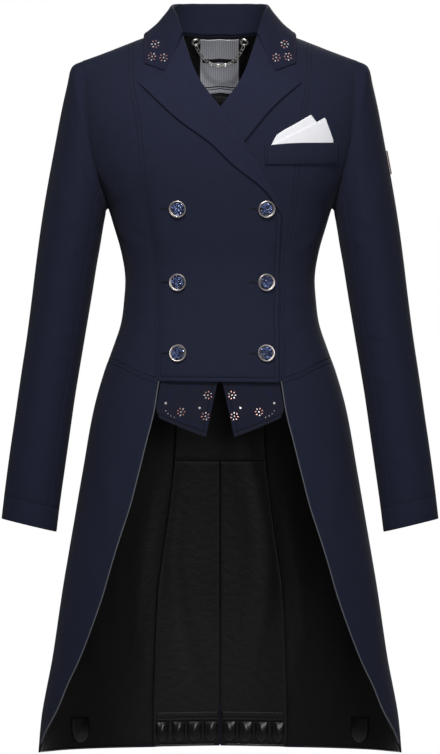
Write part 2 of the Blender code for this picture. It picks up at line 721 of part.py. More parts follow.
def back_sheet():
    """The back panel, cut in one from the hem to the neck."""
    neck = [at_climb(*place, behind=True) for place in NECK_BACK]
    shoulder = ridge_places(BACK_PRINCESS[-1].across, NECK_POINT, SHOULDER_SEAM_COLUMNS, True)
    top = shoulder + neck
    top[0] = BACK_SEAM[-1]
    columns = len(top) - 1
    centre_waist = seen(0.0, BACK_WAIST, behind=True)
    waist = between(BACK_SEAM[0], centre_waist, columns)
    low = between(centre_waist, (2.0, climb_at(0, ARMPIT)), WAIST_TO_ARMPIT_ROWS)
    high_rows = ARMPIT_TO_CHEST_ROWS + CHEST_TO_RIDGE_ROWS
    high = between(low[-1], top[-1], high_rows)
    bodice = coons(BACK_SEAM, low + high[1:], waist, top)
    vent = tail_rows(CENTRE_VENT, behind=True)
    vent[-1] = centre_waist
    turns = np.linspace(BACK_TAIL_SEAM[0][0], vent[0][0], columns + 1)
    hem = hem_places(turns)
    hem[0], hem[-1] = BACK_TAIL_SEAM[0], vent[0]
    seam = BACK_TAIL_SEAM[:-1] + [BACK_SEAM[0]]
    tail = coons(seam, vent, hem, waist)
    return sheet_on_form(tail + bodice[1:])


def tail_side_sheet():
    """The skirt side of the tail, from its cut-away front edge to the back seam."""
    front_edge = [seen(x, h) for x, h in evenly([tuple(m) for m in TAIL_FRONT_EDGE], TAIL_ROWS)]
    top = waist_front() + waist_back()[1:]
    back_edge = BACK_TAIL_SEAM[:-1] + [BACK_SEAM[0]]
    corner = front_edge[0]
    front_edge[-1] = top[0]
    front_turns = np.linspace(corner[0], 1.0, SIDE_COLUMNS)
    back_turns = np.linspace(1.0, back_edge[0][0], SIDE_COLUMNS + 2)
    hem = hem_places(list(front_turns) + list(back_turns[1:]))
    hem[0], hem[-1] = corner, back_edge[0]
    return sheet_on_form(coons(front_edge, back_edge, hem, top))


def lapel_sheet(front_edge, outer_edge):
    """A lapel, from the roll line to its outer edge, lying on its front."""
    roll = [tuple(mark) for mark in front_edge[-ROLL_LINE_MARKS:]]
    inner = evenly(roll, LAPEL_ROWS)
    outer = evenly([tuple(mark) for mark in outer_edge], LAPEL_ROWS)
    top = [tuple(mark) for mark in LAPEL_TOP]
    columns = len(top) - 1
    inner[-1], outer[-1] = top[0], top[-1]
    bottom = between(inner[0], outer[0], columns)
    marks = coons(inner, outer, bottom, top)
    return sheet_on_form([[seen(x, z) for x, z in row] for row in marks])


# ---------------------------------------------------------------- collar and sleeves

def neck_places():
    """Places along the neck edge from the centre back to the gorge."""
    back = [at_climb(*place, behind=True) for place in reversed(NECK_BACK)]
    front = [at_climb(*place) for place in NECK_FRONT]
    return back + [at_climb(NECK_POINT, OVER_SHOULDER)] + front


def collar_half():
    """The left half of the collar: stations from the gorge to the centre back."""
    neck = [form(*place) for place in neck_places()]
    stand = []
    fall_top = []
    fall_edge = []
    last = len(COLLAR) - 1
    for k, station in enumerate(COLLAR):
        fold = np.array((station.fold_x, station.fold_y, station.fold_z))
        out = np.array((station.fold_x, station.fold_y, 0.0))
        out /= np.linalg.norm(out)
        up = np.array((0.0, 0.0, 1.0))
        radius = FOLD_RADIUS + (FOLD_RADIUS_END - FOLD_RADIUS) * k / last
        foot = neck[k] - out * CLOTH + up * STAND_FOOT_RISE
        inside = fold - out * radius - up * radius
        shoulder_drop = up * FOLD_SHOULDER_DROP * radius
        stand.append([
            foot,
            0.5 * (foot + inside),
            inside,
            fold - out * FOLD_SHOULDER * radius - shoulder_drop,
            fold,
            fold + out * FOLD_SHOULDER * radius - shoulder_drop,
        ])
        fall_top.append(fold + out * radius - up * radius)
        behind = k < FIRST_FRONT_STATION
        place = seen(station.edge_across, station.edge_height, behind)
        fall_edge.append(on_form(place, station.edge_lift))
    leaf_end = [fall_top[-1]]
    leaf_end += [on_form(seen(*mark), LAPEL_LIFT) for mark in LEAF_END]
    leaf_end.append(fall_edge[-1])
    bend = np.array(leaf_end) - np.array(between(fall_top[-1], fall_edge[-1], FALL_ROWS))
    stations = []
    for k in range(last, -1, -1):
        straight = np.array(between(fall_top[k], fall_edge[k], FALL_ROWS))
        stations.append(stand[k] + list(straight + bend * (k / last) ** LEAF_BEND_EASE))
    return stations


def collar_sheet():
    left = collar_half()
    right = [[point * MIRROR for point in row] for row in reversed(left[:-1])]
    return sheet_from_points(left + right)


def ring_points(ring):
    """Points round a sleeve ring, from the inner side over the front, the top and the back."""
    inner = np.array((ring.inner_x, -ring.forward, ring.inner_z))
    outer = np.array((ring.outer_x, -ring.forward, ring.outer_z))
    centre = 0.5 * (inner + outer)
    half = 0.5 * (outer - inner)
    front = np.array((0.0, -ring.half_depth, 0.0))
    points = []
    for j in range(RING_POINTS):
        turn = 2 * math.pi * j / RING_POINTS
        turn -= RING_BUNCHING * math.sin(turn)
        points.append(centre - half * math.cos(turn) + front * math.sin(turn))
    return points


def sleeve_sheet():
    """The whole left sleeve as one closed grid of rings, with its first column repeated."""
    armpit = WAIST_TO_ARMPIT_ROWS
    front = [form(*place) for place in SIDE_FRONT[armpit:]]
    back = [form(*place) for place in SIDE_BACK[armpit + 1:-1]]
    rings = [front + back[::-1]]
    rings += [ring_points(ring) for ring in SLEEVE]
    points = np.array([ring + [ring[0]] for ring in rings])
    wrapped = np.concatenate((points[:, -2:-1], points, points[:, 1:2]), axis=1)
    sheet = sheet_from_points(wrapped)
    normals = sheet.normals[:, 1:-1]
    centre = points[:, :-1].mean(axis=1, keepdims=True)
    if np.sum(normals * (points - centre)) < 0:
        normals = -normals
    return Sheet(points, normals)


def share_armhole(sleeve, front, back):
    """Gives sleeve and body one direction at the armhole, except in the crease of the armpit."""
    armpit = WAIST_TO_ARMPIT_ROWS
    steps = BODICE_ROWS - armpit
    pairs = [(front, armpit + j, -1, j) for j in range(steps + 1)]
    pairs += [(back, armpit + j, 0, (RING_POINTS - j) % RING_POINTS) for j in range(steps + 1)]
    shared = {}
    for sheet, row, column, j in pairs:
        body_way = sheet.normals[row, column]
        sleeve_way = sleeve.normals[0, j]
        if np.dot(body_way, sleeve_way) > SAME_WAY:
            shared[j] = shared.get(j, 0) + body_way + sleeve_way
    for j, way in shared.items():
        sleeve.normals[0, j] = way / np.linalg.norm(way)
    sleeve.normals[0, -1] = sleeve.normals[0, 0]
    for sheet, row, column, j in pairs:
        if j in shared:
            sheet.normals[row, column] = sleeve.normals[0, j]


def make_sleeves(sleeve):
    half = SEAM_GAP / 2
    gaps = (SLEEVE_SEAM_GAP / 2, SLEEVE_SEAM_GAP / 2, half, half)
    both_sides("top_sleeve", sleeve.columns(FOREARM_SEAM, HINDARM_SEAM), CLOTH, NAVY, gaps)
    outside = sleeve.columns(HINDARM_SEAM, RING_POINTS)
    inside = sleeve.columns(0, FOREARM_SEAM)
    both_sides("under_sleeve", joined(outside, inside), CLOTH, NAVY_DARK, gaps)


# ---------------------------------------------------------------- pieces that lie on others

def make_vest_points():
    """The two points of the waistcoat front that show below the front hem."""
    inner = between(VEST_BOTTOM[0], VEST_TOP[0], VEST_GRID)
    outer = evenly([tuple(mark) for mark in VEST_OUTER], VEST_GRID)
    bottom = evenly([tuple(mark) for mark in VEST_BOTTOM], VEST_GRID)
    top = evenly([tuple(mark) for mark in VEST_TOP], VEST_GRID)
    marks = coons(inner, outer, bottom, top)
    sheet = sheet_on_form([[seen(x, z) for x, z in row] for row in marks])
    sheet = sheet.lifted(np.full(sheet.points.shape[:2], VEST_LAYER))
    both_sides("vest_point", sheet, CLOTH, NAVY)


def make_pocket():
    """The breast welt and the square that stands up behind it, on the left chest."""
    low_near, low_far, high_far, high_near = WELT_CORNERS
    near_end = between(low_near, high_near, WELT_ROWS)
    far_end = between(low_far, high_far, WELT_ROWS)
    low = between(low_near, low_far, WELT_COLUMNS)
    high = between(high_near, high_far, WELT_COLUMNS)
    marks = coons(near_end, far_end, low, high)
    welt = sheet_on_form([[seen(x, z) for x, z in row] for row in marks])
    welt = welt.lifted(np.full(welt.points.shape[:2], WELT_LIFT))
    wall("breast_welt", welt, CLOTH, NAVY_DARK)

    def behind_welt(mark):
        share = (mark.across - high_near.across) / (high_far.across - high_near.across)
        height = high_near.height + share * (high_far.height - high_near.height)
        return Mark(mark.across, height - SQUARE_TUCK)

    starts = [behind_welt(mark) for mark in SQUARE_TOP]
    columns = [between(start, end, SQUARE_ROWS) for start, end in zip(starts, SQUARE_TOP)]
    square = sheet_on_form([[seen(x, z) for x, z in row] for row in zip(*columns)])
    square = square.lifted(np.full(square.points.shape[:2], SQUARE_LIFT))
    wall("pocket_square", square, SQUARE_CLOTH, WHITE_COTTON)


def lining_place(lining, across, height):
    """Row and column of the lining's grid at a point of the back view."""
    middle = lining.points.shape[1] // 2
    heights = lining.points[:, middle, 2]
    row = float(np.interp(height, heights, np.arange(len(heights))))
    low = int(min(row, len(heights) - 2))
    share = row - low
    xs = (1 - share) * lining.points[low, :, 0] + share * lining.points[low + 1, :, 0]
    order = np.argsort(xs)
    return row, float(np.interp(across, xs[order], order.astype(float)))


def label_on(lining, name, shape, finish):
    """A flat label on the inside of the lining."""
    start = shape.centre - shape.width / 2
    end = shape.centre + shape.width / 2
    points = []
    normals = []
    for z in np.linspace(shape.top - shape.height, shape.top, shape.rows + 1):
        point_row = []
        normal_row = []
        for x in np.linspace(start, end, shape.columns + 1):
            point, normal = lining.at(*lining_place(lining, x, z))
            point_row.append(point - normal * (LINING + LABEL_GAP + LABEL))
            normal_row.append(-normal)
        points.append(point_row)
        normals.append(normal_row)
    return wall(name, Sheet(points, normals), LABEL, finish)


def make_eyelet(lining, side, mark):
    """A metal ring on the lining; returns where the chain's end lies on its lower rim."""
    point, normal = lining.at(*lining_place(lining, side * EYELET_ACROSS, EYELET_HEIGHT))
    inward = Vector(-normal)
    centre = Vector(point) + inward * (LINING + LABEL_GAP + EYELET_WIRE)
    bpy.ops.mesh.primitive_torus_add(
        major_radius=EYELET_RING * MM, minor_radius=EYELET_WIRE * MM,
        major_segments=EYELET_SEGMENTS, minor_segments=WIRE_SEGMENTS)
    ring = bpy.context.object
    ring.name = "eyelet_" + mark
    ring.data.name = ring.name
    ring.data.shade_smooth()
    ring.data.materials.append(material(ring.name, SILVER))
    ring.location = centre * MM
    ring.rotation_euler = inward.to_track_quat("Z", "Y").to_euler()
    down = Vector((0.0, 0.0, -1.0))
    rim = (down - inward * down.dot(inward)).normalized() * EYELET_RING
    return centre + rim + inward * (EYELET_WIRE + SEAM_GAP + CHAIN_WIRE)


def make_eyelets_and_chain(lining):
    """Two metal eyelets in the lining and the chain that swings on the line between them."""
    right = make_eyelet(lining, -1, "R")
    left = make_eyelet(lining, 1, "L")
    axis = 0.5 * (right + left)
    half_span = 0.5 * (left.x - right.x)
    curve = bpy.data.curves.new("hanger_chain", "CURVE")
    curve.dimensions = "3D"
    curve.bevel_depth = CHAIN_WIRE * MM
    curve.bevel_resolution = 1
    curve.use_fill_caps = True
    spline = curve.splines.new("POLY")
    spline.points.add(CHAIN_POINTS - 1)
    for k, point in enumerate(spline.points):
        share = 2 * k / (CHAIN_POINTS - 1) - 1
        across = half_span * math.copysign(abs(share) ** CHAIN_CROWDING, share)
        drop = CHAIN_DROP * (1 - abs(share) ** CHAIN_SAG)
        point.co = (across * MM, 0.0, -drop * MM, 1.0)
        point.radius = 1.0 if k % 2 == 0 else CHAIN_THIN
    chain = bpy.data.objects.new("hanger_chain", curve)
    bpy.context.scene.collection.objects.link(chain)
    curve.materials.append(material("hanger_chain", SILVER))
    chain.location = axis * MM


def make_buttons():
    """Six turned buttons on the right front, each standing just off the cloth."""
    for column, side in zip(BUTTON_COLUMNS, ("outer", "inner")):
        for row, height in enumerate(BUTTON_ROWS, start=1):
            around, climb = seen(-column, height)
            normal = form_normal(around, climb)
            lift = front_lift(-column, height) + BUTTON_FOOT
            foot = Vector((form(around, climb) + normal * lift) * MIRROR)
            way = Vector(normal * MIRROR)
            make_button("button_%s_%d" % (side, row), foot, way)


def make_button(name, foot, way):
    shaped = bmesh.new()
    rings = []
    for turn in BUTTON_PROFILE:
        ring = []
        for k in range(BUTTON_SEGMENTS):
            angle = 2 * math.pi * k / BUTTON_SEGMENTS
            spot = Vector((math.cos(angle), math.sin(angle), 0.0)) * turn.radius
            ring.append(shaped.verts.new((spot + Vector((0, 0, turn.rise))) * MM))
        rings.append(ring)
    for low, high in zip(rings, rings[1:]):
        for k in range(BUTTON_SEGMENTS):
            n = (k + 1) % BUTTON_SEGMENTS
            shaped.faces.new((low[k], low[n], high[n], high[k]))
    shaped.faces.new(list(reversed(rings[0])))
    shaped.faces.new(rings[-1])
    mesh = bpy.data.meshes.new(name)
    shaped.to_mesh(mesh)
    shaped.free()
    mesh.shade_smooth()
    mesh.set_sharp_from_angle(angle=math.radians(BUTTON_SHARP))
    mesh.materials.append(material(name, ROSE_METAL))
    button = bpy.data.objects.new(name, mesh)
    bpy.context.scene.collection.objects.link(button)
    button.location = foot * MM
    button.rotation_euler = way.to_track_quat("Z", "Y").to_euler()


def pouch_sheet(lining, pouch):
    """A small pillow on the inside of a tail lining: its flat side against the lining."""
    heights = lining.points[:, 0, 2]
    points = []
    normals = []
    thickness = []
    for i in range(POUCH_GRID + 1):
        z = pouch.low + (pouch.high - pouch.low) * i / POUCH_GRID
        row = float(np.interp(z, heights, np.arange(len(heights))))
        low = min(int(row), len(heights) - 2)
        xs = lining.points[low, :, 0] * (1 - row + low) + lining.points[low + 1, :, 0] * (row - low)
        order = np.argsort(xs)
        point_row = []
        normal_row = []
        thick_row = []
        for j in range(POUCH_GRID + 1):
            x = pouch.near + (pouch.far - pouch.near) * j / POUCH_GRID
            column = float(np.interp(x, xs[order], order.astype(float)))
            point, normal = lining.at(row, column)
            point_row.append(point - normal * (LINING + LABEL_GAP))
            normal_row.append(normal)
            swell = math.sin(math.pi * i / POUCH_GRID) * math.sin(math.pi * j / POUCH_GRID)
            share = POUCH_RIM + (1 - POUCH_RIM) * math.sqrt(max(0.0, swell))
            thick_row.append(POUCH_THICKNESS * share)
        points.append(point_row)
        normals.append(normal_row)
        thickness.append(thick_row)
    return Sheet(points, normals), np.array(thickness)


def make_pouches(back_lining, side_lining):
    for number, pouch in enumerate(POUCHES, start=1):
        sheet, thickness = pouch_sheet(back_lining, pouch)
        both_sides("weight_pouch_%d" % number, sheet, thickness, BLACK_GLOSS)
    sheet, thickness = pouch_sheet(side_lining, CORNER_POUCH)
    both_sides("corner_pouch", sheet, thickness, BLACK_GLOSS)


def make_badge(sleeve):
    """A plain plate on the outer side of the left upper sleeve."""
    point, normal = sleeve.at(BADGE_RING, RING_POINTS / 2)
    way = Vector(normal)
    centre = Vector(point) + way * (BADGE_GAP + BADGE_THICKNESS / 2)
    lower, _ = sleeve.at(BADGE_RING + BADGE_REACH, RING_POINTS / 2)
    along = Vector(lower) - Vector(point)
    along = (along - way * along.dot(way)).normalized()
    turn = Matrix((along.cross(way), -along, way)).transposed().to_4x4()
    shaped = bmesh.new()
    bmesh.ops.create_cube(shaped, size=MM)
    width, height = BADGE_SIZE
    bmesh.ops.scale(shaped, vec=(width, height, BADGE_THICKNESS), verts=shaped.verts)
    upright = [e for e in shaped.edges if abs(e.verts[0].co.z - e.verts[1].co.z) > 0.5 * MM]
    bmesh.ops.bevel(
        shaped, geom=upright, offset=BADGE_CORNER * MM, segments=BADGE_CORNER_STEPS,
        affect="EDGES", profile=0.5)
    mesh = bpy.data.meshes.new("sleeve_badge")
    shaped.to_mesh(mesh)
    shaped.free()
    mesh.shade_smooth()
    mesh.set_sharp_from_angle(angle=math.radians(CLOTH_SHARP))
    mesh.materials.append(material("sleeve_badge", ROSE_METAL))
    badge = bpy.data.objects.new("sleeve_badge", mesh)
    bpy.context.scene.collection.objects.link(badge)
    badge.matrix_world = Matrix.Translation(centre * MM) @ turn


# ---------------------------------------------------------------- the whole coat

def main():
    for old in list(bpy.data.objects):
        bpy.data.objects.remove(old)

    half = SEAM_GAP / 2
    side_front = side_front_sheet()
    side_back = side_back_sheet()
    back = back_sheet()
    tail_side = tail_side_sheet()
    sleeve = sleeve_sheet()
    share_armhole(sleeve, side_front, side_back)

    right_front = front_sheet(RIGHT_FRONT_EDGE)
    right_lapel = lapel_sheet(RIGHT_FRONT_EDGE, RIGHT_LAPEL_EDGE)
    left_lapel = lapel_sheet(LEFT_FRONT_EDGE, LEFT_LAPEL_EDGE)
    right_lift = np.array(lift_over_left(right_lapel)) + LAPEL_LIFT
    left_lift = np.full(left_lapel.points.shape[:2], LAPEL_LIFT)
    wall("front_L", front_sheet(LEFT_FRONT_EDGE), CLOTH, NAVY)
    wall("front_R", right_front.lifted(lift_over_left(right_front)).mirrored(), CLOTH, NAVY)
    gorge = (half, half, half, GORGE_GAP / 2)
    wall("lapel_L", left_lapel.lifted(left_lift), CLOTH, NAVY, gorge)
    wall("lapel_R", right_lapel.lifted(right_lift).mirrored(), CLOTH, NAVY, gorge)
    both_sides("side_front", side_front, CLOTH, NAVY)
    both_sides("side_back", side_back, CLOTH, NAVY)
    both_sides("back", back, CLOTH, NAVY_DARK)
    both_sides("tail_side", tail_side, CLOTH, NAVY_DARK)
    wall("collar", collar_sheet(), CLOTH, NAVY_DARK, (half, half, GORGE_GAP / 2, GORGE_GAP / 2))
    make_sleeves(sleeve)

    inside = CLOTH + LINING_GAP
    back_inside = back.lifted(np.full(back.points.shape[:2], -inside))
    side_inside = tail_side.lifted(np.full(tail_side.points.shape[:2], -inside))
    upper = back_inside.rows(HEM_TO_VENT_ROWS, len(back.points) - 1)
    flipped = upper.mirrored()
    other = Sheet(flipped.points[:, ::-1], flipped.normals[:, ::-1])
    whole = joined(upper, other)
    wall("lining_back", whole, LINING, BLACK_SATIN, (half, half, half, NECK_LINING_GAP))
    tail_back = back_inside.rows(0, HEM_TO_VENT_ROWS)
    back_gaps = (half, half, HEM_LINING_GAP, half)
    side_gaps = (EDGE_LINING_GAP, half, HEM_LINING_GAP, half)
    both_sides("lining_tail_back", tail_back, LINING, BLACK_SATIN, back_gaps)
    both_sides("lining_tail_side", side_inside, LINING, BLACK_SATIN, side_gaps)

    make_vest_points()
    make_pocket()
    label_on(whole, "neck_label", NECK_LABEL, SILVER_SATIN)
    label_on(whole, "size_label", SIZE_LABEL, BLACK_SATIN)
    make_eyelets_and_chain(whole)
    make_buttons()
    make_pouches(tail_back, side_inside)
    make_badge(sleeve)


main()
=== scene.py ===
"""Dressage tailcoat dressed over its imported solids: cloth, lining, sewing, metal and crystals.

Laid out as an add-on and run as a script. Sizes in the tables are millimetres in the row's frame:
+X is the wearer's left, -Y is the front, +Z is up, and the origin is at shoulder level.
Each cloth piece is a thin shell on the same form as its solid, with its seams pressed in,
its rows of topstitching and its creases.
"""

import math
from collections import namedtuple

import bmesh
import bpy
import numpy as np
from bpy.props import FloatProperty, FloatVectorProperty, PointerProperty
from mathutils import Matrix, Vector
from mathutils.bvhtree import BVHTree


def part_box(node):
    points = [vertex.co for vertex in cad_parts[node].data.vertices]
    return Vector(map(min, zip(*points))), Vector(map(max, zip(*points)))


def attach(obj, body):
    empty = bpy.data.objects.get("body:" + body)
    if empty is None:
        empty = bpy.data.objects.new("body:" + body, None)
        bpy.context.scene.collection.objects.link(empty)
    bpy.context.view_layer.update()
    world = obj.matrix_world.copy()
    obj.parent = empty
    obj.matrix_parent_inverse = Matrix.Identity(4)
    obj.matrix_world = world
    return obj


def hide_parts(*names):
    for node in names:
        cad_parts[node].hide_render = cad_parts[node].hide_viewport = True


bl_info = {
    "name": "Dressage Tailcoat",
    "version": (1, 0, 0),
    "blender": (4, 5, 0),
    "location": "3D View > Sidebar > Tailcoat",
    "description": "Dresses the tailcoat's solids in cloth, lining, sewing, metal and crystals",
    "category": "Add Mesh",
}

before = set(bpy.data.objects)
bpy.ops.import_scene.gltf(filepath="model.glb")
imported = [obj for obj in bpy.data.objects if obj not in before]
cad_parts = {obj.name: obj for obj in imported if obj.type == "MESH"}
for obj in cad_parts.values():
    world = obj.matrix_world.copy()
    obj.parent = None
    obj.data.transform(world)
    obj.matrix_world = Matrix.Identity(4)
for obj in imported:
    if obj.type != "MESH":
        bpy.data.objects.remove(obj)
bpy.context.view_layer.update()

MM = 0.001
MIRROR = np.array((-1.0, 1.0, 1.0))

# ---- sizes of the cut, in mm

CLOTH = 1.4  # shell cloth with its interlining
LINING = 1.0
LABEL = 1.0
LINING_GAP = 0.9  # between the shell's inside and the lining
LABEL_GAP = 0.9  # between the lining and a label or pouch
LAYER_GAP = 1.1  # between two curved layers that lie on each other
LAPEL_LIFT = CLOTH + LAYER_GAP
FRONT_LIFT = 3.0  # right front over left front, below the lapels
FRONT_LIFT_LAPEL = 5.4  # right front over left front and left lapel
LIFT_MARGIN = 24.0  # how far past the left front's edge the full lift goes
LIFT_RAMP = 40.0  # width over which the lift fades out
LIFT_LAPEL_END = -262.0  # below this height the front no longer clears the left lapel
LIFT_SETTLE = 38.0  # height over which the lift falls to its lower value
PRINCESS_MARGIN = 14.0  # the full lift ends at least this far before the princess seam

ROUNDNESS = 2.4  # exponent of the horizontal section, 2 is an ellipse
ROUND_DROP = 110.0  # height over which the chest rounds over to the shoulder ridge
OVER_SHOULDER = 150.0  # climb of the ridge above the chest line
CHEST_RISE = 120.0  # climb from the armpits to the chest line
ARMPIT = -222.0
BACK_WAIST = -428.0
VENT_TOP = -570.0  # top of the centre vent and the seam across the back lining
TYPICAL_HALF_WIDTH = 180.0  # where the search for a height on the form starts
SEARCH_STEPS = 8  # rounds of that search


def table(kind, *rows):
    """A table of rows of a kind, each with its values in the order of its columns."""
    return tuple(kind(*row) for row in rows)


Section = namedtuple("Section", "height half_width front_depth back_depth")
BODY = table(Section,
    (-975, 251.0, 128.0, 135.0), (-920, 246.0, 127.0, 133.0), (-845, 232.0, 126.0, 130.0),
    (-745, 217.0, 124.0, 125.0), (-662, 203.0, 121.0, 120.0), (-580, 189.0, 117.0, 113.0),
    (-497, 174.0, 112.0, 105.0), (-447, 160.0, 108.0, 98.0), (-414, 148.0, 104.0, 92.0),
    (-381, 137.0, 100.0, 85.0), (-348, 132.5, 97.5, 80.0), (-315, 131.0, 97.5, 77.0),
    (-281, 136.5, 101.0, 78.0), (-248, 146.0, 107.0, 82.0), (-217, 156.0, 113.0, 88.0),
    (-190, 170.0, 118.0, 92.0), (-166, 182.0, 121.0, 95.0), (-130, 193.0, 122.0, 97.0),
    (-80, 199.0, 116.0, 96.0), (-20, 200.0, 104.0, 90.0), (60, 200.0, 90.0, 84.0))
Ridge = namedtuple("Ridge", "across height")
RIDGE = table(Ridge,
    (0, 49.0), (30, 43.5), (60, 32.0), (78, 22.0), (90, 18.5), (104, 14.5), (124, 7.0),
    (152, -4.0), (179, -14.0), (200, -21.0), (260, -40.0))
Mark = namedtuple("Mark", "across height")
FRONT_PRINCESS = table(Mark,
    (84, -460), (86.5, -408), (86.5, -366), (89, -323), (94.5, -273), (102, -218), (107, -166),
    (114, -97), (121.5, -60), (124, 7))
BACK_PRINCESS = table(Mark,
    (93.5, -968), (93, -900), (91, -824), (86, -740), (77, -683), (65, -581), (61, -500),
    (60, -428), (61, -366), (67, -323), (78, -273), (92, -218), (104, -166), (112, -110),
    (120, -60), (124, 7))
WAIST_SEAM = table(Mark, (84, -460), (94, -458), (120, -447), (138, -437), (152, -429))
TAIL_FRONT_EDGE = table(Mark,
    (247, -958), (236, -938), (218, -894), (201, -860), (186, -822), (166, -769), (145, -698),
    (130, -651), (121, -622), (102, -546), (90, -498), (84, -460))
Hem = namedtuple("Hem", "around height")
HEM = table(Hem, (0.88, -958), (0.94, -968), (1.0, -972), (1.3, -971), (2.0, -966))
CENTRE_VENT = table(Mark, (0.6, -966), (0.2, -860), (0.0, VENT_TOP))
ROLL_LINE = table(Mark,
    (-77, -211), (-66, -190), (-54, -168), (-40, -148), (-28, -126), (-14, -108), (-3, -90),
    (30, -44), (51, 14))
RIGHT_FRONT_EDGE = table(Mark,
    (-80, -462), (-80, -400), (-80, -330), (-81, -270), (-82, -229)) + ROLL_LINE
LEFT_FRONT_EDGE = table(Mark,
    (-68, -462), (-68, -400), (-68, -330), (-68, -270), (-68, -229), (-67, -211), (-60, -190),
    (-51, -168)) + ROLL_LINE[3:]
ROLL_LINE_MARKS = 10  # marks of a front edge that its lapel shares
RIGHT_LAPEL_EDGE = table(Mark,
    (-74, -217), (-66, -204), (-58, -193), (-40, -179), (-14, -159), (14, -132.5), (50, -107),
    (72, -88), (112, -50))
LEFT_LAPEL_EDGE = table(Mark,
    (-58, -219), (-50, -209), (-36, -197), (-18, -182), (5, -163), (33, -131), (65, -92),
    (84, -73), (112, -50))
LAPEL_TOP = table(Mark, (51, 14), (63, -10), (74.5, -33), (93, -42), (112, -50))
Hole = namedtuple("Hole", "around height")
ARMHOLE = table(Hole,
    (1.000, -222), (0.940, -217), (0.875, -203), (0.815, -182), (0.765, -154), (0.738, -124),
    (0.727, -92), (0.727, -62), (0.735, -36))
SHOULDER_POINT = 188.0
NECK_POINT = 78.0
Place = namedtuple("Place", "across climb")
NECK_FRONT = table(Place, (75.5, 138), (71, 126), (65, 113), (58, 102), (51, 91))
NECK_BACK = table(Place, (72, 129), (60, 110), (43, 94), (22, 82), (0, 78))
Station = namedtuple("Station", "fold_x fold_y fold_z edge_across edge_height edge_lift")
COLLAR = table(Station,
    (0.0, 66.0, 63.0, 0.0, 7.0, 3.2), (24.0, 63.5, 63.0, 27.0, 6.0, 3.2),
    (45.0, 53.5, 62.5, 52.0, 4.0, 3.4), (58.0, 39.0, 62.0, 75.0, 2.5, 4.2),
    (65.0, 22.0, 60.5, 92.0, 4.0, 5.0), (67.0, 5.0, 58.0, 101.0, 10.5, 5.0),
    (66.0, -9.0, 55.5, 103.0, 14.8, 5.0), (62.0, -24.0, 49.0, 104.0, 12.0, 5.0),
    (58.0, -38.0, 39.5, 104.0, 5.0, 4.6), (55.0, -49.0, 29.0, 104.0, -7.0, 4.0),
    (52.0, -58.0, 19.5, 103.5, -23.5, LAPEL_LIFT))
FIRST_FRONT_STATION = 6  # from here on the fall lies on the front of the form
LEAF_END = table(Mark, (62.6, -9), (73.5, -31.8), (89, -28.5))
FOLD_RADIUS = 3.4  # of the collar's fold at the back of the neck
FOLD_RADIUS_END = 2.4  # and at the gorge
FOLD_SHOULDER = 0.72  # how far out the fold's shoulder is, as a share of its radius
FOLD_SHOULDER_DROP = 0.3  # and how far down
STAND_FOOT_RISE = 0.6
FALL_ROWS = 4
LEAF_BEND_EASE = 5  # the fall bends to the leaf's end late, by this power
Ring = namedtuple("Ring", "outer_x outer_z inner_x inner_z half_depth forward")
SLEEVE = table(Ring,
    (204.5, -26.5, 157.0, -223, 56.0, 5), (211.0, -52, 157.5, -228, 58.0, 5),
    (219.0, -88, 159.0, -236, 60.0, 4), (228.0, -136, 161.5, -250, 61.5, 3),
    (238.0, -190, 165.0, -272, 62.0, 2), (246.5, -242, 170.0, -300, 60.5, 2),
    (253.5, -294, 176.0, -338, 58.5, 2), (260.0, -348, 184.0, -386, 56.0, 4),
    (267.0, -402, 192.0, -434, 53.5, 8), (275.0, -455, 199.5, -480, 51.0, 14),
    (282.5, -508, 206.0, -526, 48.5, 21), (290.0, -560, 213.0, -576, 46.0, 29),
    (296.5, -610, 220.0, -626, 44.0, 37), (301.0, -649, 225.0, -667, 42.5, 43))
RING_POINTS = 18
RING_BUNCHING = 0.2  # draws the points of a ring towards its outer side
FOREARM_SEAM = 3  # number of the ring point at each seam of the sleeve
HINDARM_SEAM = 14

HEM_TO_VENT_ROWS = 9
VENT_TO_WAIST_ROWS = 3
WAIST_TO_ARMPIT_ROWS = 6
ARMPIT_TO_CHEST_ROWS = 4
CHEST_TO_RIDGE_ROWS = 5
SIDE_COLUMNS = 3
SHOULDER_SEAM_COLUMNS = 2
BODICE_ROWS = WAIST_TO_ARMPIT_ROWS + ARMPIT_TO_CHEST_ROWS + CHEST_TO_RIDGE_ROWS
TAIL_ROWS = HEM_TO_VENT_ROWS + VENT_TO_WAIST_ROWS
LAPEL_ROWS = 12
FINER = 6  # rows and columns of the shells for each one of the solids
ARMPIT_ROW = FINER * WAIST_TO_ARMPIT_ROWS
VENT_ROW = FINER * HEM_TO_VENT_ROWS

VEST_TOP = table(Mark, (1.4, -452), (42, -452), (80.5, -452))
VEST_BOTTOM = table(Mark, (19.6, -537), (52, -524.5), (84, -510.5))
VEST_OUTER = table(Mark, (84, -510.5), (88.5, -500), (80.5, -452))
VEST_LAYER = -2.3  # the waistcoat lies inside the fronts
VEST_GRID = 4
WELT_CORNERS = table(Mark, (61, -162), (159.5, -160), (159.5, -131.5), (61, -137))
WELT_LIFT = 4.0
SQUARE_TOP = table(Mark,
    (70, -136), (77.5, -122), (86, -116), (106, -105), (124.5, -94), (132.5, -104.5),
    (143.5, -97.5), (154.5, -128))
SQUARE_LIFT = 1.9
SQUARE_CLOTH = 1.0
SQUARE_TUCK = 8.0  # how far the square goes down behind the welt
SQUARE_FOLD = table(Mark, (132.5, -104.5), (66.0, -138.0))
SQUARE_LAYER = 0.8  # how far its upper layer stands off the lower one
SQUARE_FOLD_WIDTH = 1.6
LabelShape = namedtuple("LabelShape", "width height top centre")
NECK_LABEL = LabelShape(54.0, 74.0, 14.0, -0.7)
SIZE_LABEL = LabelShape(18.0, 10.0, -64.5, 2.0)
EYELET_ACROSS = 34.2
EYELET_HEIGHT = 10.5
EYELET_RING = 4.7
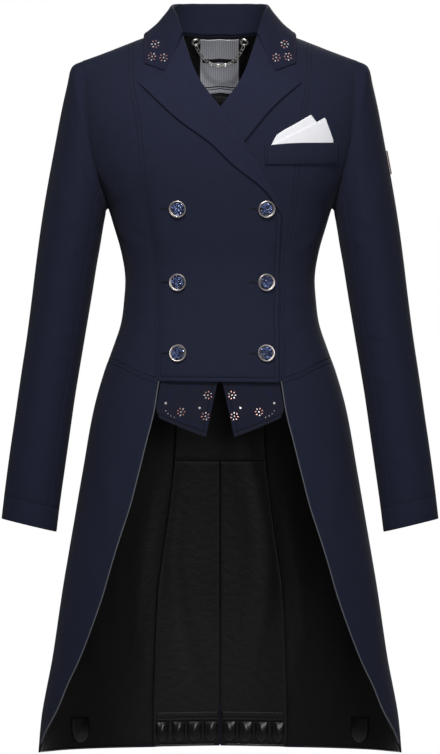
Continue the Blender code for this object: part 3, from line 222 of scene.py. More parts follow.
EYELET_WIRE = 1.7
CHAIN_DROP = 26.0
CHAIN_WIRE = 1.1
CHAIN_CROWDING = 0.86  # draws the places on the chain's line towards its ends
CHAIN_SAG = 2.3  # power of the chain's curve, 2 is a parabola
CHAIN_END = 1.2  # how far short of the solid the links end
BUTTON_COLUMNS = (-57.0, 62.5)
BUTTON_ROWS = (-222.0, -324.0, -422.0)
BUTTON_FOOT = 0.5  # between the cloth and a button
Pouch = namedtuple("Pouch", "near far low high")
POUCHES = table(Pouch,
    (3.0, 22.5, -960.5, -933), (25.5, 45.5, -960.5, -933), (48.5, 66.5, -960.5, -933),
    (71.5, 89.0, -960.5, -933))
CORNER_POUCH = Pouch(182.0, 205.5, -963, -929)
POUCH_THICKNESS = 4.0
BADGE_RING = 4.41  # place of the badge down the sleeve, in rings
BADGE_REACH = 0.4  # from there to a lower point that gives its direction

# How a piece's surface drops towards an edge, and where a row of stitches lies, in mm
EdgeLine = namedtuple("EdgeLine", "inside drop stitched", defaults=(False,))
PLAIN = table(EdgeLine, (0.08, 0.0), (1.5, 0.0))
SEAM = table(EdgeLine, (0.08, 0.6), (0.8, 0.2), (2.0, 0.0))
TOPSTITCHED = table(EdgeLine,
    (0.08, 0.25), (0.6, 0.05), (1.6, 0.0), (2.7, 0.0), (3.6, 0.95, True), (4.5, 0.0), (5.4, 0.0))
PRESSED = table(EdgeLine, (0.0, 0.65), (0.5, 0.2), (1.6, 0.0))
EDGE_STITCHED = PRESSED + table(EdgeLine, (5.0, 0.0), (5.8, 0.8, True), (6.6, 0.0))
CUFF = PRESSED + table(EdgeLine, (32.0, 0.0), (33.0, 0.3, True), (34.0, 0.0))

# Creases as the front or back view shows them on the wearer's left; the other side is alike
Crease = namedtuple(
    "Crease", "across height end_across end_height width depth behind", defaults=(False,))
BODY_CREASES = table(Crease,
    (118, -372, 60, -392, 9, 0.9), (122, -336, 74, -352, 8, 0.7), (146, -236, 108, -282, 10, 1.2),
    (148, -210, 126, -176, 9, 0.9), (70, -250, 50, -320, 12, 0.5),
    (176, -120, 150, -205, 11, 1.1), (150, -470, 158, -620, 14, 1.3),
    (128, -490, 150, -700, 16, 1.0), (190, -660, 206, -900, 18, 1.2),
    (120, -388, 30, -402, 10, 1.1, True), (116, -352, 36, -364, 9, 0.8, True),
    (146, -236, 96, -300, 11, 1.3, True), (172, -130, 140, -215, 12, 1.2, True),
    (60, -70, 30, -180, 14, 0.7, True), (40, -560, 48, -840, 18, 1.4, True),
    (140, -520, 172, -860, 20, 1.5, True), (84, -600, 96, -900, 16, 1.1, True))
SLEEVE_CREASES = table(Crease,
    (190, -232, 226, -262, 10, 1.3), (184, -262, 214, -300, 9, 1.0),
    (198, -392, 240, -410, 9, 1.3), (202, -420, 246, -428, 8, 1.0),
    (206, -450, 240, -470, 9, 0.9), (262, -360, 232, -388, 10, 0.8),
    (226, -560, 262, -580, 10, 0.8), (222, -150, 206, -240, 12, 0.9),
    (184, -100, 168, -225, 7, -2.2), (192, -236, 228, -280, 10, 1.4, True),
    (202, -400, 252, -396, 9, 1.4, True), (206, -432, 254, -424, 9, 1.2, True),
    (210, -470, 250, -452, 10, 1.0, True), (232, -580, 270, -566, 11, 0.9, True))

CREASE_SHIFT = np.array((3.0, -5.0))  # the right side's creases lie a little elsewhere
CREASE_FADE = 0.85  # and are this much shallower
CREASE_BOW = 0.08  # how far a crease bows, as a share of its length
CREASE_START = (-0.2, 0.25)  # where it begins and is full, as shares of its length
CREASE_END = (1.25, 0.75)  # where it ends and is still full
CREASE_FACING = (0.1, 0.5)  # how squarely the cloth faces the view where it begins
CREASE_HOLLOW = 1.4  # depth of the hollows beside the crest
ARMHOLE_EASE_ROWS = 12  # rows over which a sleeve's creases begin
SAME_WAY = 0.2  # least agreement of two directions that share the armhole

# Sewing thread, in mm, and the sizes of patterns, in metres
WEAVE = "weave_place"
THREAD_RISE = 0.12
THREAD = 1.3  # drawn about three times as thick as it is, so that it shows
STITCH_PITCH = 3.4
STITCH_LENGTH = 3.0
DIAGONAL_BAND = 0.444  # a wave texture's scale times the width of its diagonal bands
STRAIGHT_BAND = 0.314  # and of its straight bands
TWILL_PITCH = 0.0013
NAP_SIZE = 0.014
SATIN_CLOUD = 0.011
SATIN_STREAK = 0.0015
LABEL_RIB = 0.003
BATISTE_THREAD = 0.001
COATING_GRAIN = 0.003846
POLISH_MARK = 0.0014286
STONE_CELL = 0.0017857
YARN_TWIST = 0.0008333

# Angles between faces, in degrees, from which an edge is drawn sharp
CLOTH_SHARP = 62.0
EDGE_SHARP = 60.0
PAD_SHARP = 55.0
CORD_SHARP = 50.0
METAL_SHARP = 35.0
THREAD_SHARP = 30.0
PLATE_SHARP = 25.0
STONE_SHARP = 12.0

SIDES = ((1, "L"), (-1, "R"))

# Trims in mm
ARMHOLE_TAPE = 1.2
ARMHOLE_TAPE_DEPTH = 0.55  # below the faces of both panels that it joins
SHOULDER_TAPE = 1.0
SHOULDER_TAPE_DEPTH = 1.2
UNDERLAP = Pouch(0.6, 16.0, HEM[-1].height + 0.8, VENT_TOP + 4.0)
UNDERLAP_GAP = 0.15
UNDERLAP_CLOTH = 0.6
LAPEL_STAND = 2.0  # how far a lapel's outer edge stands off its front
LAPEL_STAND_RISE = 3  # powers by which the stand grows outwards
LAPEL_STAND_FALL = 8  # and fades towards the gorge
WELT_BOW = 2.4
ROLL_RADIUS = 1.95  # half of the fold from the lapel's face to the front's inside
ROLL_STEPS = 7
TAIL_CORD = 0.9
TAIL_CORD_SINK = 0.7
TAIL_CORD_INSET = 0.2
HEM_CORD = 1.2
HEM_CORD_SINK = 1.0
HEM_CORD_RISE = 2.2
POUCH_BAND = Pouch(2.5, 88.0, -931.5, -919.0)
BAND_LIFT = 1.6
BAND_CLOTH = 0.7
BAND_PUCKER = 0.35
POUCH_POINTS = 17  # along each side of a pouch's grid
POUCH_RIM = 0.9
POUCH_LEAST = 0.6
POUCH_ROUND = 0.55  # share of a pouch's height over which its sides round in
POUCH_SWELL = 0.6  # power of the swelling, less is fuller
POUCH_PUCKER = 0.25
CORD_SIDES = 8
LABEL_STEP = 2.5
LabelBar = namedtuple("LabelBar", "name inset_left inset_right inset_low inset_high")
DARK_BARS = table(LabelBar,
    ("label_bar_middle", 3.0, 3.0, 42.5, 26.0), ("label_bar_low", 3.0, 3.0, 8.5, 64.0),
    ("label_bar_lowest", 3.0, 3.0, 5.5, 67.3))
# Light strips along the label's two turned side edges: painted highlight where the tape turns
BRIGHT_BARS = table(LabelBar,
    ("label_selvedge_L", 1.0, 51.4, 1.0, 1.0), ("label_selvedge_R", 51.4, 1.0, 1.0, 1.0))
BAR_LIFT = 0.2
BAR_CLOTH = 0.3
BUTTON_RIM = (
    (7.6, 0.0), (10.6, 0.4), (11.7, 1.3), (12.0, 2.4), (11.8, 3.3), (11.2, 3.8), (10.7, 3.7),
    (10.4, 3.1), (10.2, 2.2), (9.6, 1.8), (5.0, 1.7),
)
BUTTON_BED = ((9.9, 1.6), (9.7, 1.9), (8.4, 2.2), (5.0, 2.8), (2.0, 3.1))
BUTTON_TURNS = 40
BED_TURNS = 28
ROCK_STONES = 72
ROCK_REACH = 8.6
ROCK_CROWN = 4.2  # height of the middle stones
ROCK_SINK = 0.4  # how deep the stones sit in the bed
ROCK_FALL = 1.9  # how much lower the outer stones are
ROCK_LEAN = 0.07  # how far a stone leans outwards, per mm from the middle
ROCK_TILT = 0.45  # and how far it tilts in a direction of its own
ROCK_TURNS = (5.1, 3.7, 1.3)  # steps of that direction and of its spin from stone to stone
ROCK_FORWARD = (0.3, 1.0, 0.1)
GOLDEN_TURN = 2.39996
BUTTONHOLE_LENGTH = 10.0
BUTTONHOLE_START = 12.4  # from the button's middle
BUTTONHOLE_MARKS = 9
BUTTONHOLE_HALF = 0.8  # from the slit to the worked edge on either side
BUTTONHOLE_THREAD = 0.35
BUTTONHOLE_SLIT = 0.5
LINK_PITCH = 4.9
LINK_WIDTH = 1.9
LINK_LENGTH = 3.2
LINK_WIRE = 0.6
BADGE_OUTLINE = (11.0, 16.5, 5.0)  # half width, half height and corner radius
BADGE_CORNER_POINTS = 7
BADGE_STEPS = ((0.0, -0.8), (0.0, 0.35), (0.35, 0.7), (0.8, 0.8), (1.7, 0.8), (2.1, 0.55))

# Crystal flowers and stones, by their places in the front view on the wearer's left
LEAF_FLOWERS = table(Mark, (89.0, 4.0), (93.5, -13.5), (77.5, -15.0))
VEST_FLOWERS = table(Mark, (16.5, -479.0), (53.5, -502.0), (20.0, -508.0))
VEST_STONES = table(Mark, (28.0, -496.5), (74.5, -490.0))
VEST_DOTS = table(Mark, (74.5, -500.5), (71.5, -504.5), (67.5, -507.5), (62.5, -509.5))
LEAF_CURL = table(Mark, (79.5, 25.0), (84.0, 16.0), (88.5, 11.5), (94.0, 9.5))
VEST_CURLS = (
    table(Mark, (22.0, -470.0), (32.0, -464.0), (42.0, -468.0), (42.0, -478.0), (34.0, -480.0)),
    table(Mark, (28.0, -510.0), (38.0, -516.0), (46.0, -510.0)),
    table(Mark, (60.0, -496.0), (68.0, -486.0), (66.0, -474.0), (56.0, -472.0)),
    table(Mark, (34.0, -498.0), (42.0, -490.0), (52.0, -490.0)),
    table(Mark,
        (14.0, -491.0), (13.5, -500.0), (18.5, -516.0), (21.0, -523.0), (25.0, -524.0),
        (35.0, -520.0)),
    table(Mark, (42.0, -518.0), (50.0, -514.0), (58.0, -511.5)),
    table(Mark, (62.0, -480.0), (68.0, -477.0), (75.0, -480.0), (76.0, -486.0)),
)
PETALS = 7
PETAL_REACH = 4.7
PETAL_SPIN = 0.4  # turn of each flower against the one before
Stone = namedtuple("Stone", "radius height stretch sides", defaults=(1.0, 8))
FLOWER_STONE = Stone(1.3, 1.0)
PETAL_STONE = Stone(1.05, 0.9, 1.45)
SINGLE_STONE = Stone(1.9, 1.3)
DOT_STONE = Stone(0.8, 0.7)
ROCK_STONE = Stone(1.05, 1.0, 1.0, 6)
BEAD = 0.75
BEAD_PROFILE = ((0.6 * BEAD, -0.1), (BEAD, 0.2), (0.7 * BEAD, 0.6), (0.25 * BEAD, 0.75))
BEAD_SIDES = 6
BEAD_PITCH = 1.9
WELT_FOOT = table(EdgeLine, (0.08, 1.15), (1.5, 0.9), (4.5, 0.35), (8.0, 0.0))
BORDER = PRESSED + table(EdgeLine, (2.2, 0.0), (2.8, 0.2, True), (3.4, 0.0))
WELT_END = PRESSED + table(EdgeLine, (3.0, 0.0), (3.7, 0.3, True), (4.4, 0.0))

# Stage, in metres; a softbox's power is its share of the main one's, its spread in degrees
Softbox = namedtuple("Softbox", "name place aim size power spread", defaults=(180.0,))
SOFTBOXES = table(Softbox,
    ("key softbox", (-0.3, -2.1, 1.7), (0, 0, -0.2), (0.5, 0.4), 1.0, 60.0),
    ("fill softbox", (0.45, -3.0, 0.1), (0, 0, -0.25), (0.9, 1.2), 1.1, 80.0),
    ("top softbox", (0.0, -0.4, 2.2), (0, 0, -0.2), (2.0, 1.4), 1.0),
    ("back softbox", (0.6, 3.2, 1.0), (0, 0, -0.4), (2.0, 2.0), 12.0))
FLOOR_REACH = 3.0
FLOOR_HEIGHT = -1.4
CAMERA_DISTANCE = 20.0
CAMERA_HEIGHT = -0.454  # the picture's middle row
PICTURE_HEIGHT = 1.0405  # how much of the coat's plane the picture shows
SENSOR_WIDTH = 36.0  # of the camera, in mm


def held_back(gap):
    """The edge of a lining that ends short of the cloth."""
    return table(EdgeLine, (gap, 0.4), (gap + 0.6, 0.1), (gap + 2.0, 0.0))


# ---- curves through tables

def smooth(table, column, key, at):
    """Value of a column at a key, on a smooth curve through the table's rows."""
    keys = np.array([getattr(row, key) for row in table], float)
    values = np.array([getattr(row, column) for row in table], float)
    if keys[0] > keys[-1]:
        keys = keys[::-1]
        values = values[::-1]
    at = np.clip(at, keys[0], keys[-1])
    i = np.clip(np.searchsorted(keys, at) - 1, 0, len(keys) - 2)
    slopes = np.diff(values) / np.diff(keys)
    tangents = np.concatenate((slopes[:1], 0.5 * (slopes[1:] + slopes[:-1]), slopes[-1:]))
    step = keys[i + 1] - keys[i]
    t = (at - keys[i]) / step
    start = tangents[i] * step
    end = tangents[i + 1] * step
    rise = values[i + 1] - values[i]
    bend = 3 * rise - 2 * start - end
    return values[i] + t * (start + t * (bend + t * (start + end - 2 * rise)))


def curve_through(points, steps=12):
    """A dense smooth curve along the first axis, through the given points."""
    points = np.asarray(points, float)
    first = 2 * points[:1] - points[1:2]
    last = 2 * points[-1:] - points[-2:-1]
    points = np.concatenate((first, points, last))
    before, start, end, after = (points[k:len(points) - 3 + k, None] for k in range(4))
    t = (np.arange(steps) / steps).reshape((1, steps) + (1,) * (points.ndim - 1))
    bend = (2 * before - 5 * start + 4 * end - after) * t ** 2
    twist = (3 * start - before - 3 * end + after) * t ** 3
    dense = 0.5 * (2 * start + (end - before) * t + bend + twist)
    return np.concatenate((dense.reshape((-1,) + points.shape[1:]), points[-2:-1]))


def finer(grid, rows=FINER, columns=FINER):
    """A grid with more rows and columns on the smooth surface through its points."""
    grid = curve_through(grid, rows)
    return curve_through(grid.swapaxes(0, 1), columns).swapaxes(0, 1)


def lengths_along(line):
    steps = np.linalg.norm(np.diff(line, axis=0), axis=1)
    return np.concatenate(([0.0], np.cumsum(steps)))


def along(line, distances, *others):
    """Points of a line, and values that go with them, at the given distances from its start."""
    lengths = lengths_along(line)
    found = []
    for values in (line, *others):
        values = np.asarray(values, float).reshape(len(line), -1)
        found.append(np.stack([np.interp(distances, lengths, v) for v in values.T], -1))
    return found if others else found[0]


def evenly(points, count):
    dense = curve_through(points)
    return along(dense, np.linspace(0.0, lengths_along(dense)[-1], count + 1))


def between(first, last, count):
    return np.linspace(np.array(first, float), np.array(last, float), count + 1)


# ---- the coat's outer form

def height_at(across, climb):
    """Height of a place on the form from its climb up the cloth."""
    chest = smooth(RIDGE, "height", "across", np.abs(across)) - ROUND_DROP
    below = ARMPIT + climb + CHEST_RISE
    middle = chest + (chest - ARMPIT) * climb / CHEST_RISE
    above = chest + ROUND_DROP * np.sin(climb / OVER_SHOULDER * np.pi / 2)
    return np.where(climb <= -CHEST_RISE, below, np.where(climb <= 0, middle, above))


def climb_at(across, height):
    ridge = smooth(RIDGE, "height", "across", np.abs(across))
    chest = ridge - ROUND_DROP
    below = height - ARMPIT - CHEST_RISE
    middle = (height - chest) / (chest - ARMPIT) * CHEST_RISE
    rise = np.clip(1 - (ridge - height) / ROUND_DROP, -1.0, 1.0)
    above = np.arcsin(rise) * 2 / np.pi * OVER_SHOULDER
    return np.where(height <= ARMPIT, below, np.where(height <= chest, middle, above))


def form(places):
    """Points of the outer form at places (around, climb)."""
    around, climb = np.moveaxis(np.asarray(places, float), -1, 0)
    around = np.where(around > 2, around - 4, np.where(around < -2, around + 4, around))
    turn = np.abs(around)
    in_front = turn <= 1
    angle = np.where(in_front, turn, 2 - turn) * np.pi / 2
    out = np.maximum(0.0, np.sin(angle)) ** (2 / ROUNDNESS)
    deep = np.maximum(0.0, np.cos(angle)) ** (2 / ROUNDNESS)
    across = TYPICAL_HALF_WIDTH * out
    for _ in range(SEARCH_STEPS):
        height = height_at(across, climb)
        across = smooth(BODY, "half_width", "height", height) * out
    tuck = np.cos(np.maximum(climb, 0.0) / OVER_SHOULDER * np.pi / 2)
    ahead = -smooth(BODY, "front_depth", "height", height)
    back = smooth(BODY, "back_depth", "height", height)
    depth = np.where(in_front, ahead, back) * deep * tuck
    return np.stack((np.where(around < 0, -across, across), depth, height), -1)


def form_normal(places):
    turned = np.array((0.003, 0.0))
    climbed = np.array((0.0, 0.5))
    sideways = form(places + turned) - form(places - turned)
    upward = form(places) - form(places - climbed)
    return unit(np.cross(sideways, upward))


def unit(vectors):
    return vectors / np.linalg.norm(vectors, axis=-1, keepdims=True)


def turn_of(across, height, behind=False):
    share = np.minimum(1.0, np.abs(across) / smooth(BODY, "half_width", "height", height))
    turn = np.arcsin(share ** (ROUNDNESS / 2)) * 2 / np.pi
    turn = 2 - turn if behind else turn
    return np.where(np.asarray(across) < 0, -turn, turn)


def seen(marks, behind=False):
    """The places that the front or back view shows at marks (across, height)."""
    across, height = np.moveaxis(np.asarray(marks, float), -1, 0)
    return np.stack((turn_of(across, height, behind), climb_at(across, height)), -1)


def at_height(around, height):
    angle = np.where(np.asarray(around) <= 1, around, 2 - np.asarray(around)) * np.pi / 2
    width = smooth(BODY, "half_width", "height", height)
    across = width * np.sin(angle) ** (2 / ROUNDNESS)
    return np.stack(np.broadcast_arrays(around, climb_at(across, height)), -1)


def at_climb(across, climb, behind=False):
    turn = turn_of(across, height_at(across, climb), behind)
    return np.stack(np.broadcast_arrays(turn, climb), -1)


def coons(left, right, bottom, top):
    """Rows of places between four boundaries that share their corners."""
    v = np.linspace(0.0, 1.0, len(left))[:, None, None]
    u = np.linspace(0.0, 1.0, len(bottom))[None, :, None]
    left, right, bottom, top = (np.array(side, float) for side in (left, right, bottom, top))
    ruled = (1 - u) * left[:, None] + u * right[:, None] + (1 - v) * bottom + v * top
    low = (1 - u) * bottom[0] + u * bottom[-1]
    high = (1 - u) * top[0] + u * top[-1]
    return ruled - (1 - v) * low - v * high


class Sheet:
    """A fine grid of points on a surface, with outward directions."""

    def __init__(self, points, normals):
        self.points = np.asarray(points, float)
        self.normals = np.asarray(normals, float)

    def mirrored(self):
        return Sheet(self.points * MIRROR, self.normals * MIRROR)

    def flipped(self):
        return Sheet(self.points[:, ::-1], self.normals[:, ::-1])

    def lifted(self, lift):
        return Sheet(self.points + self.normals * np.asarray(lift)[..., None], self.normals)

    def part(self, rows=slice(None), columns=slice(None)):
        return Sheet(self.points[rows, columns], self.normals[rows, columns])

    def at(self, row, column):
        i = min(int(row), len(self.points) - 2)
        j = min(int(column), len(self.points[0]) - 2)
        v = row - i
        u = column - j
        found = []
        for grid in (self.points, self.normals):
            low = (1 - u) * grid[i, j] + u * grid[i, j + 1]
            high = (1 - u) * grid[i + 1, j] + u * grid[i + 1, j + 1]
            found.append((1 - v) * low + v * high)
        return found[0], unit(found[1])


def on_form(places):
    return Sheet(form(places), form_normal(places))


def from_grid(points):
    """A sheet whose directions come from its own grid."""
    points = np.asarray(points, float)
    normals = np.cross(np.gradient(points, axis=1), np.gradient(points, axis=0))
    return Sheet(points, unit(normals))


def joined(first, second):
    return Sheet(
        np.concatenate((first.points, second.points[:, 1:]), axis=1),
        np.concatenate((first.normals, second.normals[:, 1:]), axis=1))


# ---- seams and panels

def bodice_rows(seam, bottom, behind=False):
    heights = np.linspace(bottom, ARMPIT, WAIST_TO_ARMPIT_ROWS + 1)
    marks = np.stack((smooth(seam, "across", "height", heights), heights), -1)
    low = seen(marks, behind)
    climbs = np.concatenate((
        np.linspace(low[-1, 1], 0, ARMPIT_TO_CHEST_ROWS + 1)[1:],
        np.linspace(0, OVER_SHOULDER, CHEST_TO_RIDGE_ROWS + 1)[1:]))
    across = np.full(len(climbs), float(seam[-1].across))
    for _ in range(SEARCH_STEPS):
        across = smooth(seam, "across", "height", height_at(across, climbs))
    return np.concatenate((low, at_climb(across, climbs, behind)))


def tail_rows(seam):
    heights = np.concatenate((
        np.linspace(seam[0].height, VENT_TOP, HEM_TO_VENT_ROWS + 1),
        np.linspace(VENT_TOP, BACK_WAIST, VENT_TO_WAIST_ROWS + 1)[1:]))
    across = np.maximum(0.0, smooth(seam, "across", "height", heights))
    return seen(np.stack((across, heights), -1), behind=True)


def armhole_rows(behind=False):
    heights = np.linspace(WAIST_SEAM[-1].height, ARMPIT, WAIST_TO_ARMPIT_ROWS + 1)[:-1]
    turns = np.concatenate((np.ones(len(heights)), [hole.around for hole in ARMHOLE]))
    heights = np.concatenate((heights, [hole.height for hole in ARMHOLE]))
    places = at_height(2 - turns if behind else turns, heights)
    return np.concatenate((places, [at_climb(SHOULDER_POINT, OVER_SHOULDER, behind)]))


def ridge_places(start, end, count, behind=False):
    return at_climb(np.linspace(start, end, count + 1), OVER_SHOULDER, behind)


FRONT_SEAM = bodice_rows(FRONT_PRINCESS, FRONT_PRINCESS[0].height)
BACK_SEAM = bodice_rows(BACK_PRINCESS, BACK_WAIST, behind=True)
BACK_TAIL_SEAM = np.concatenate((tail_rows(BACK_PRINCESS)[:-1], BACK_SEAM[:1]))
SIDE_FRONT = armhole_rows()
SIDE_BACK = armhole_rows(behind=True)


def waist_front():
    inner = seen(evenly(WAIST_SEAM[:-1], SIDE_COLUMNS - 1))
    return np.concatenate((FRONT_SEAM[:1], inner[1:], SIDE_FRONT[:1]))


def waist_back():
    return between(SIDE_BACK[0], BACK_SEAM[0], SIDE_COLUMNS)


def hem_places(turns):
    return at_height(turns, smooth(HEM, "height", "around", turns))


def front_lift(points):
    """How far the right front stands off the form to pass over the left front and its lapel."""
    across, height = points[..., 0], points[..., 2]
    princess = smooth(FRONT_PRINCESS, "across", "height", height)
    cover = -smooth(LEFT_FRONT_EDGE, "across", "height", height)
    full = np.minimum(cover + LIFT_MARGIN, princess - PRINCESS_MARGIN)
    free = np.minimum(full + LIFT_RAMP, princess)
    share = np.clip((free - across) / (free - full), 0.0, 1.0)
    below_lapel = np.clip((LIFT_LAPEL_END - height) / LIFT_SETTLE, 0.0, 1.0)
    return share * (FRONT_LIFT_LAPEL + (FRONT_LIFT - FRONT_LIFT_LAPEL) * below_lapel)


def front_sheet(edge):
    inner = seen(evenly(edge, BODICE_ROWS))
    neck = [at_climb(*place) for place in reversed(NECK_FRONT)]
    shoulder = ridge_places(NECK_POINT, FRONT_PRINCESS[-1].across, SHOULDER_SEAM_COLUMNS)
    top = np.concatenate((neck, shoulder))
    hem = seen(between(edge[0], FRONT_PRINCESS[0], len(top) - 1))
    inner[0], inner[-1] = hem[0], top[0]
    hem[-1], top[-1] = FRONT_SEAM[0], FRONT_SEAM[-1]
    return on_form(finer(coons(inner, FRONT_SEAM, hem, top)))


def side_front_sheet():
    top = ridge_places(FRONT_PRINCESS[-1].across, SHOULDER_POINT, SIDE_COLUMNS)
    top[0], top[-1] = FRONT_SEAM[-1], SIDE_FRONT[-1]
    return on_form(finer(coons(FRONT_SEAM, SIDE_FRONT, waist_front(), top)))


def side_back_sheet():
    top = ridge_places(SHOULDER_POINT, BACK_PRINCESS[-1].across, SIDE_COLUMNS, behind=True)
    top[0], top[-1] = SIDE_BACK[-1], BACK_SEAM[-1]
    return on_form(finer(coons(SIDE_BACK, BACK_SEAM, waist_back(), top)))


def back_sheet():
    neck = [at_climb(*place, behind=True) for place in NECK_BACK]
    shoulder = ridge_places(BACK_PRINCESS[-1].across, NECK_POINT, SHOULDER_SEAM_COLUMNS, True)
    top = np.concatenate((shoulder, neck))
    top[0] = BACK_SEAM[-1]
    columns = len(top) - 1
    centre_waist = seen((0.0, BACK_WAIST), behind=True)
    waist = between(BACK_SEAM[0], centre_waist, columns)
    low = between(centre_waist, (2.0, climb_at(0.0, ARMPIT)), WAIST_TO_ARMPIT_ROWS)
    high = between(low[-1], top[-1], ARMPIT_TO_CHEST_ROWS + CHEST_TO_RIDGE_ROWS)
    bodice = coons(BACK_SEAM, np.concatenate((low, high[1:])), waist, top)
    vent = tail_rows(CENTRE_VENT)
    vent[-1] = centre_waist
    hem = hem_places(np.linspace(BACK_TAIL_SEAM[0, 0], vent[0, 0], columns + 1))
    hem[0], hem[-1] = BACK_TAIL_SEAM[0], vent[0]
    tail = coons(BACK_TAIL_SEAM, vent, hem, waist)
    return on_form(finer(np.concatenate((tail, bodice[1:]))))


def tail_side_sheet():
    front_edge = seen(evenly(TAIL_FRONT_EDGE, TAIL_ROWS))
    top = np.concatenate((waist_front(), waist_back()[1:]))
    front_edge[-1] = top[0]
    front_turns = np.linspace(front_edge[0, 0], 1.0, SIDE_COLUMNS)
    back_turns = np.linspace(1.0, BACK_TAIL_SEAM[0, 0], SIDE_COLUMNS + 2)
    hem = hem_places(np.concatenate((front_turns, back_turns[1:])))
    hem[0], hem[-1] = front_edge[0], BACK_TAIL_SEAM[0]
    return on_form(finer(coons(front_edge, BACK_TAIL_SEAM, hem, top)))


def lapel_sheet(front_edge, outer_edge):
    inner = evenly(front_edge[-ROLL_LINE_MARKS:], LAPEL_ROWS)
    outer = evenly(outer_edge, LAPEL_ROWS)
    top = np.array(LAPEL_TOP, float)
    inner[-1], outer[-1] = top[0], top[-1]
    bottom = between(inner[0], outer[0], len(top) - 1)
    return on_form(seen(finer(coons(inner, outer, bottom, top))))


def collar_sheet():
    """The collar from gorge to gorge: stand, rolled fold and fall."""
    neck = [at_climb(*place, behind=True) for place in reversed(NECK_BACK)]
    neck += [at_climb(NECK_POINT, OVER_SHOULDER)] + [at_climb(*place) for place in NECK_FRONT]
    neck = form(neck)
    up = np.array((0.0, 0.0, 1.0))
    last = len(COLLAR) - 1
    stands, falls = [], []
    for k, station in enumerate(COLLAR):
        fold = np.array((station.fold_x, station.fold_y, station.fold_z))
        out = unit(np.array((station.fold_x, station.fold_y, 0.0)))
        radius = FOLD_RADIUS + (FOLD_RADIUS_END - FOLD_RADIUS) * k / last
        foot = neck[k] - out * CLOTH + up * STAND_FOOT_RISE
        inside = fold - out * radius - up * radius
        drop = up * FOLD_SHOULDER_DROP * radius
        stands.append([
            foot, 0.5 * (foot + inside), inside, fold - out * FOLD_SHOULDER * radius - drop,
            fold, fold + out * FOLD_SHOULDER * radius - drop])
        place = seen((station.edge_across, station.edge_height), k < FIRST_FRONT_STATION)
        edge = form(place) + station.edge_lift * form_normal(place)
        falls.append((fold + out * radius - up * radius, edge))
    leaf = seen(LEAF_END)
    leaf = form(leaf) + LAPEL_LIFT * form_normal(leaf)
    leaf = np.concatenate(([falls[-1][0]], leaf, [falls[-1][1]]))
    bend = leaf - between(*falls[-1], FALL_ROWS)
    left = []
    for k in range(last, -1, -1):
        fall = between(*falls[k], FALL_ROWS) + bend * (k / last) ** LEAF_BEND_EASE
        left.append(np.concatenate((stands[k], fall)))
    left = np.array(left)
    return from_grid(finer(np.concatenate((left, left[:-1][::-1] * MIRROR))))


def ring_points(ring):
    inner = np.array((ring.inner_x, -ring.forward, ring.inner_z))
    outer = np.array((ring.outer_x, -ring.forward, ring.outer_z))
    turn = 2 * np.pi * np.arange(RING_POINTS)[:, None] / RING_POINTS
    turn = turn - RING_BUNCHING * np.sin(turn)
    front = np.array((0.0, -ring.half_depth, 0.0))
    return 0.5 * (inner + outer) - 0.5 * (outer - inner) * np.cos(turn) + front * np.sin(turn)


def sleeve_sheet():
    """The left sleeve as a closed grid of rings, with its first column repeated."""
    front = form(SIDE_FRONT[WAIST_TO_ARMPIT_ROWS:])
    back = form(SIDE_BACK[WAIST_TO_ARMPIT_ROWS + 1:-1])
    rings = np.array([np.concatenate((front, back[::-1]))] + [ring_points(r) for r in SLEEVE])
    wrapped = np.concatenate((rings[:, -2:], rings, rings[:, :3]), axis=1)
    sheet = from_grid(finer(wrapped))
    sheet = sheet.part(columns=slice(2 * FINER, -2 * FINER))
    front = form(curve_through(SIDE_FRONT, FINER)[ARMPIT_ROW:])
    back = form(curve_through(SIDE_BACK, FINER)[ARMPIT_ROW:-1])
    sheet.points[0] = np.concatenate((front, back[::-1]))
    middle = sheet.points[:, :-1].mean(axis=1, keepdims=True)
    outward = np.sum(sheet.normals * (sheet.points - middle))
    return sheet if outward > 0 else Sheet(sheet.points, -sheet.normals)


# ---- creases and layers

def ramp(values, start, end):
    """Share of the way from the start to the end, held at 0 and 1 beyond them."""
    return np.clip((values - start) / (end - start), 0, 1)


def crease_field(points, normals, creases):
    """How far soft creases lift or sink each point of a sheet."""
    field = np.zeros(points.shape[:-1])
    for crease in creases:
        for side, shift, fade in ((1.0, 0.0, 1.0), (-1.0, CREASE_SHIFT, CREASE_FADE)):
            start = np.array((crease.across, crease.height)) + shift
            end = np.array((crease.end_across, crease.end_height)) - shift
            way = end - start
            length = np.linalg.norm(way)
            way = way / length
            from_start = points[..., (0, 2)] * (side, 1.0) - start
            share = (from_start @ way) / length
            bow = CREASE_BOW * length * (1 - (2 * share - 1) ** 2)
            off = (from_start @ np.array((-way[1], way[0])) - bow) / crease.width
            taper = ramp(share, *CREASE_START) * ramp(share, *CREASE_END)
            facing = normals[..., 1] if crease.behind else -normals[..., 1]
            depth = crease.depth * fade * taper * ramp(facing, *CREASE_FACING)
            field += depth * (1 - CREASE_HOLLOW * off ** 2) * np.exp(-off ** 2)
    return field


def creased(sheet):
    return sheet.lifted(crease_field(sheet.points, sheet.normals, BODY_CREASES))


def panels(side):
    """The creased outer panels of the left (1) or right (-1) half that both halves share."""
    sheets = (side_front_sheet(), side_back_sheet(), back_sheet(), tail_side_sheet())
    return [creased(sheet if side > 0 else sheet.mirrored()) for sheet in sheets]


def front_panel(side):
    if side > 0:
        return creased(front_sheet(LEFT_FRONT_EDGE))
    sheet = front_sheet(RIGHT_FRONT_EDGE)
    return creased(sheet.lifted(front_lift(sheet.points)).mirrored())


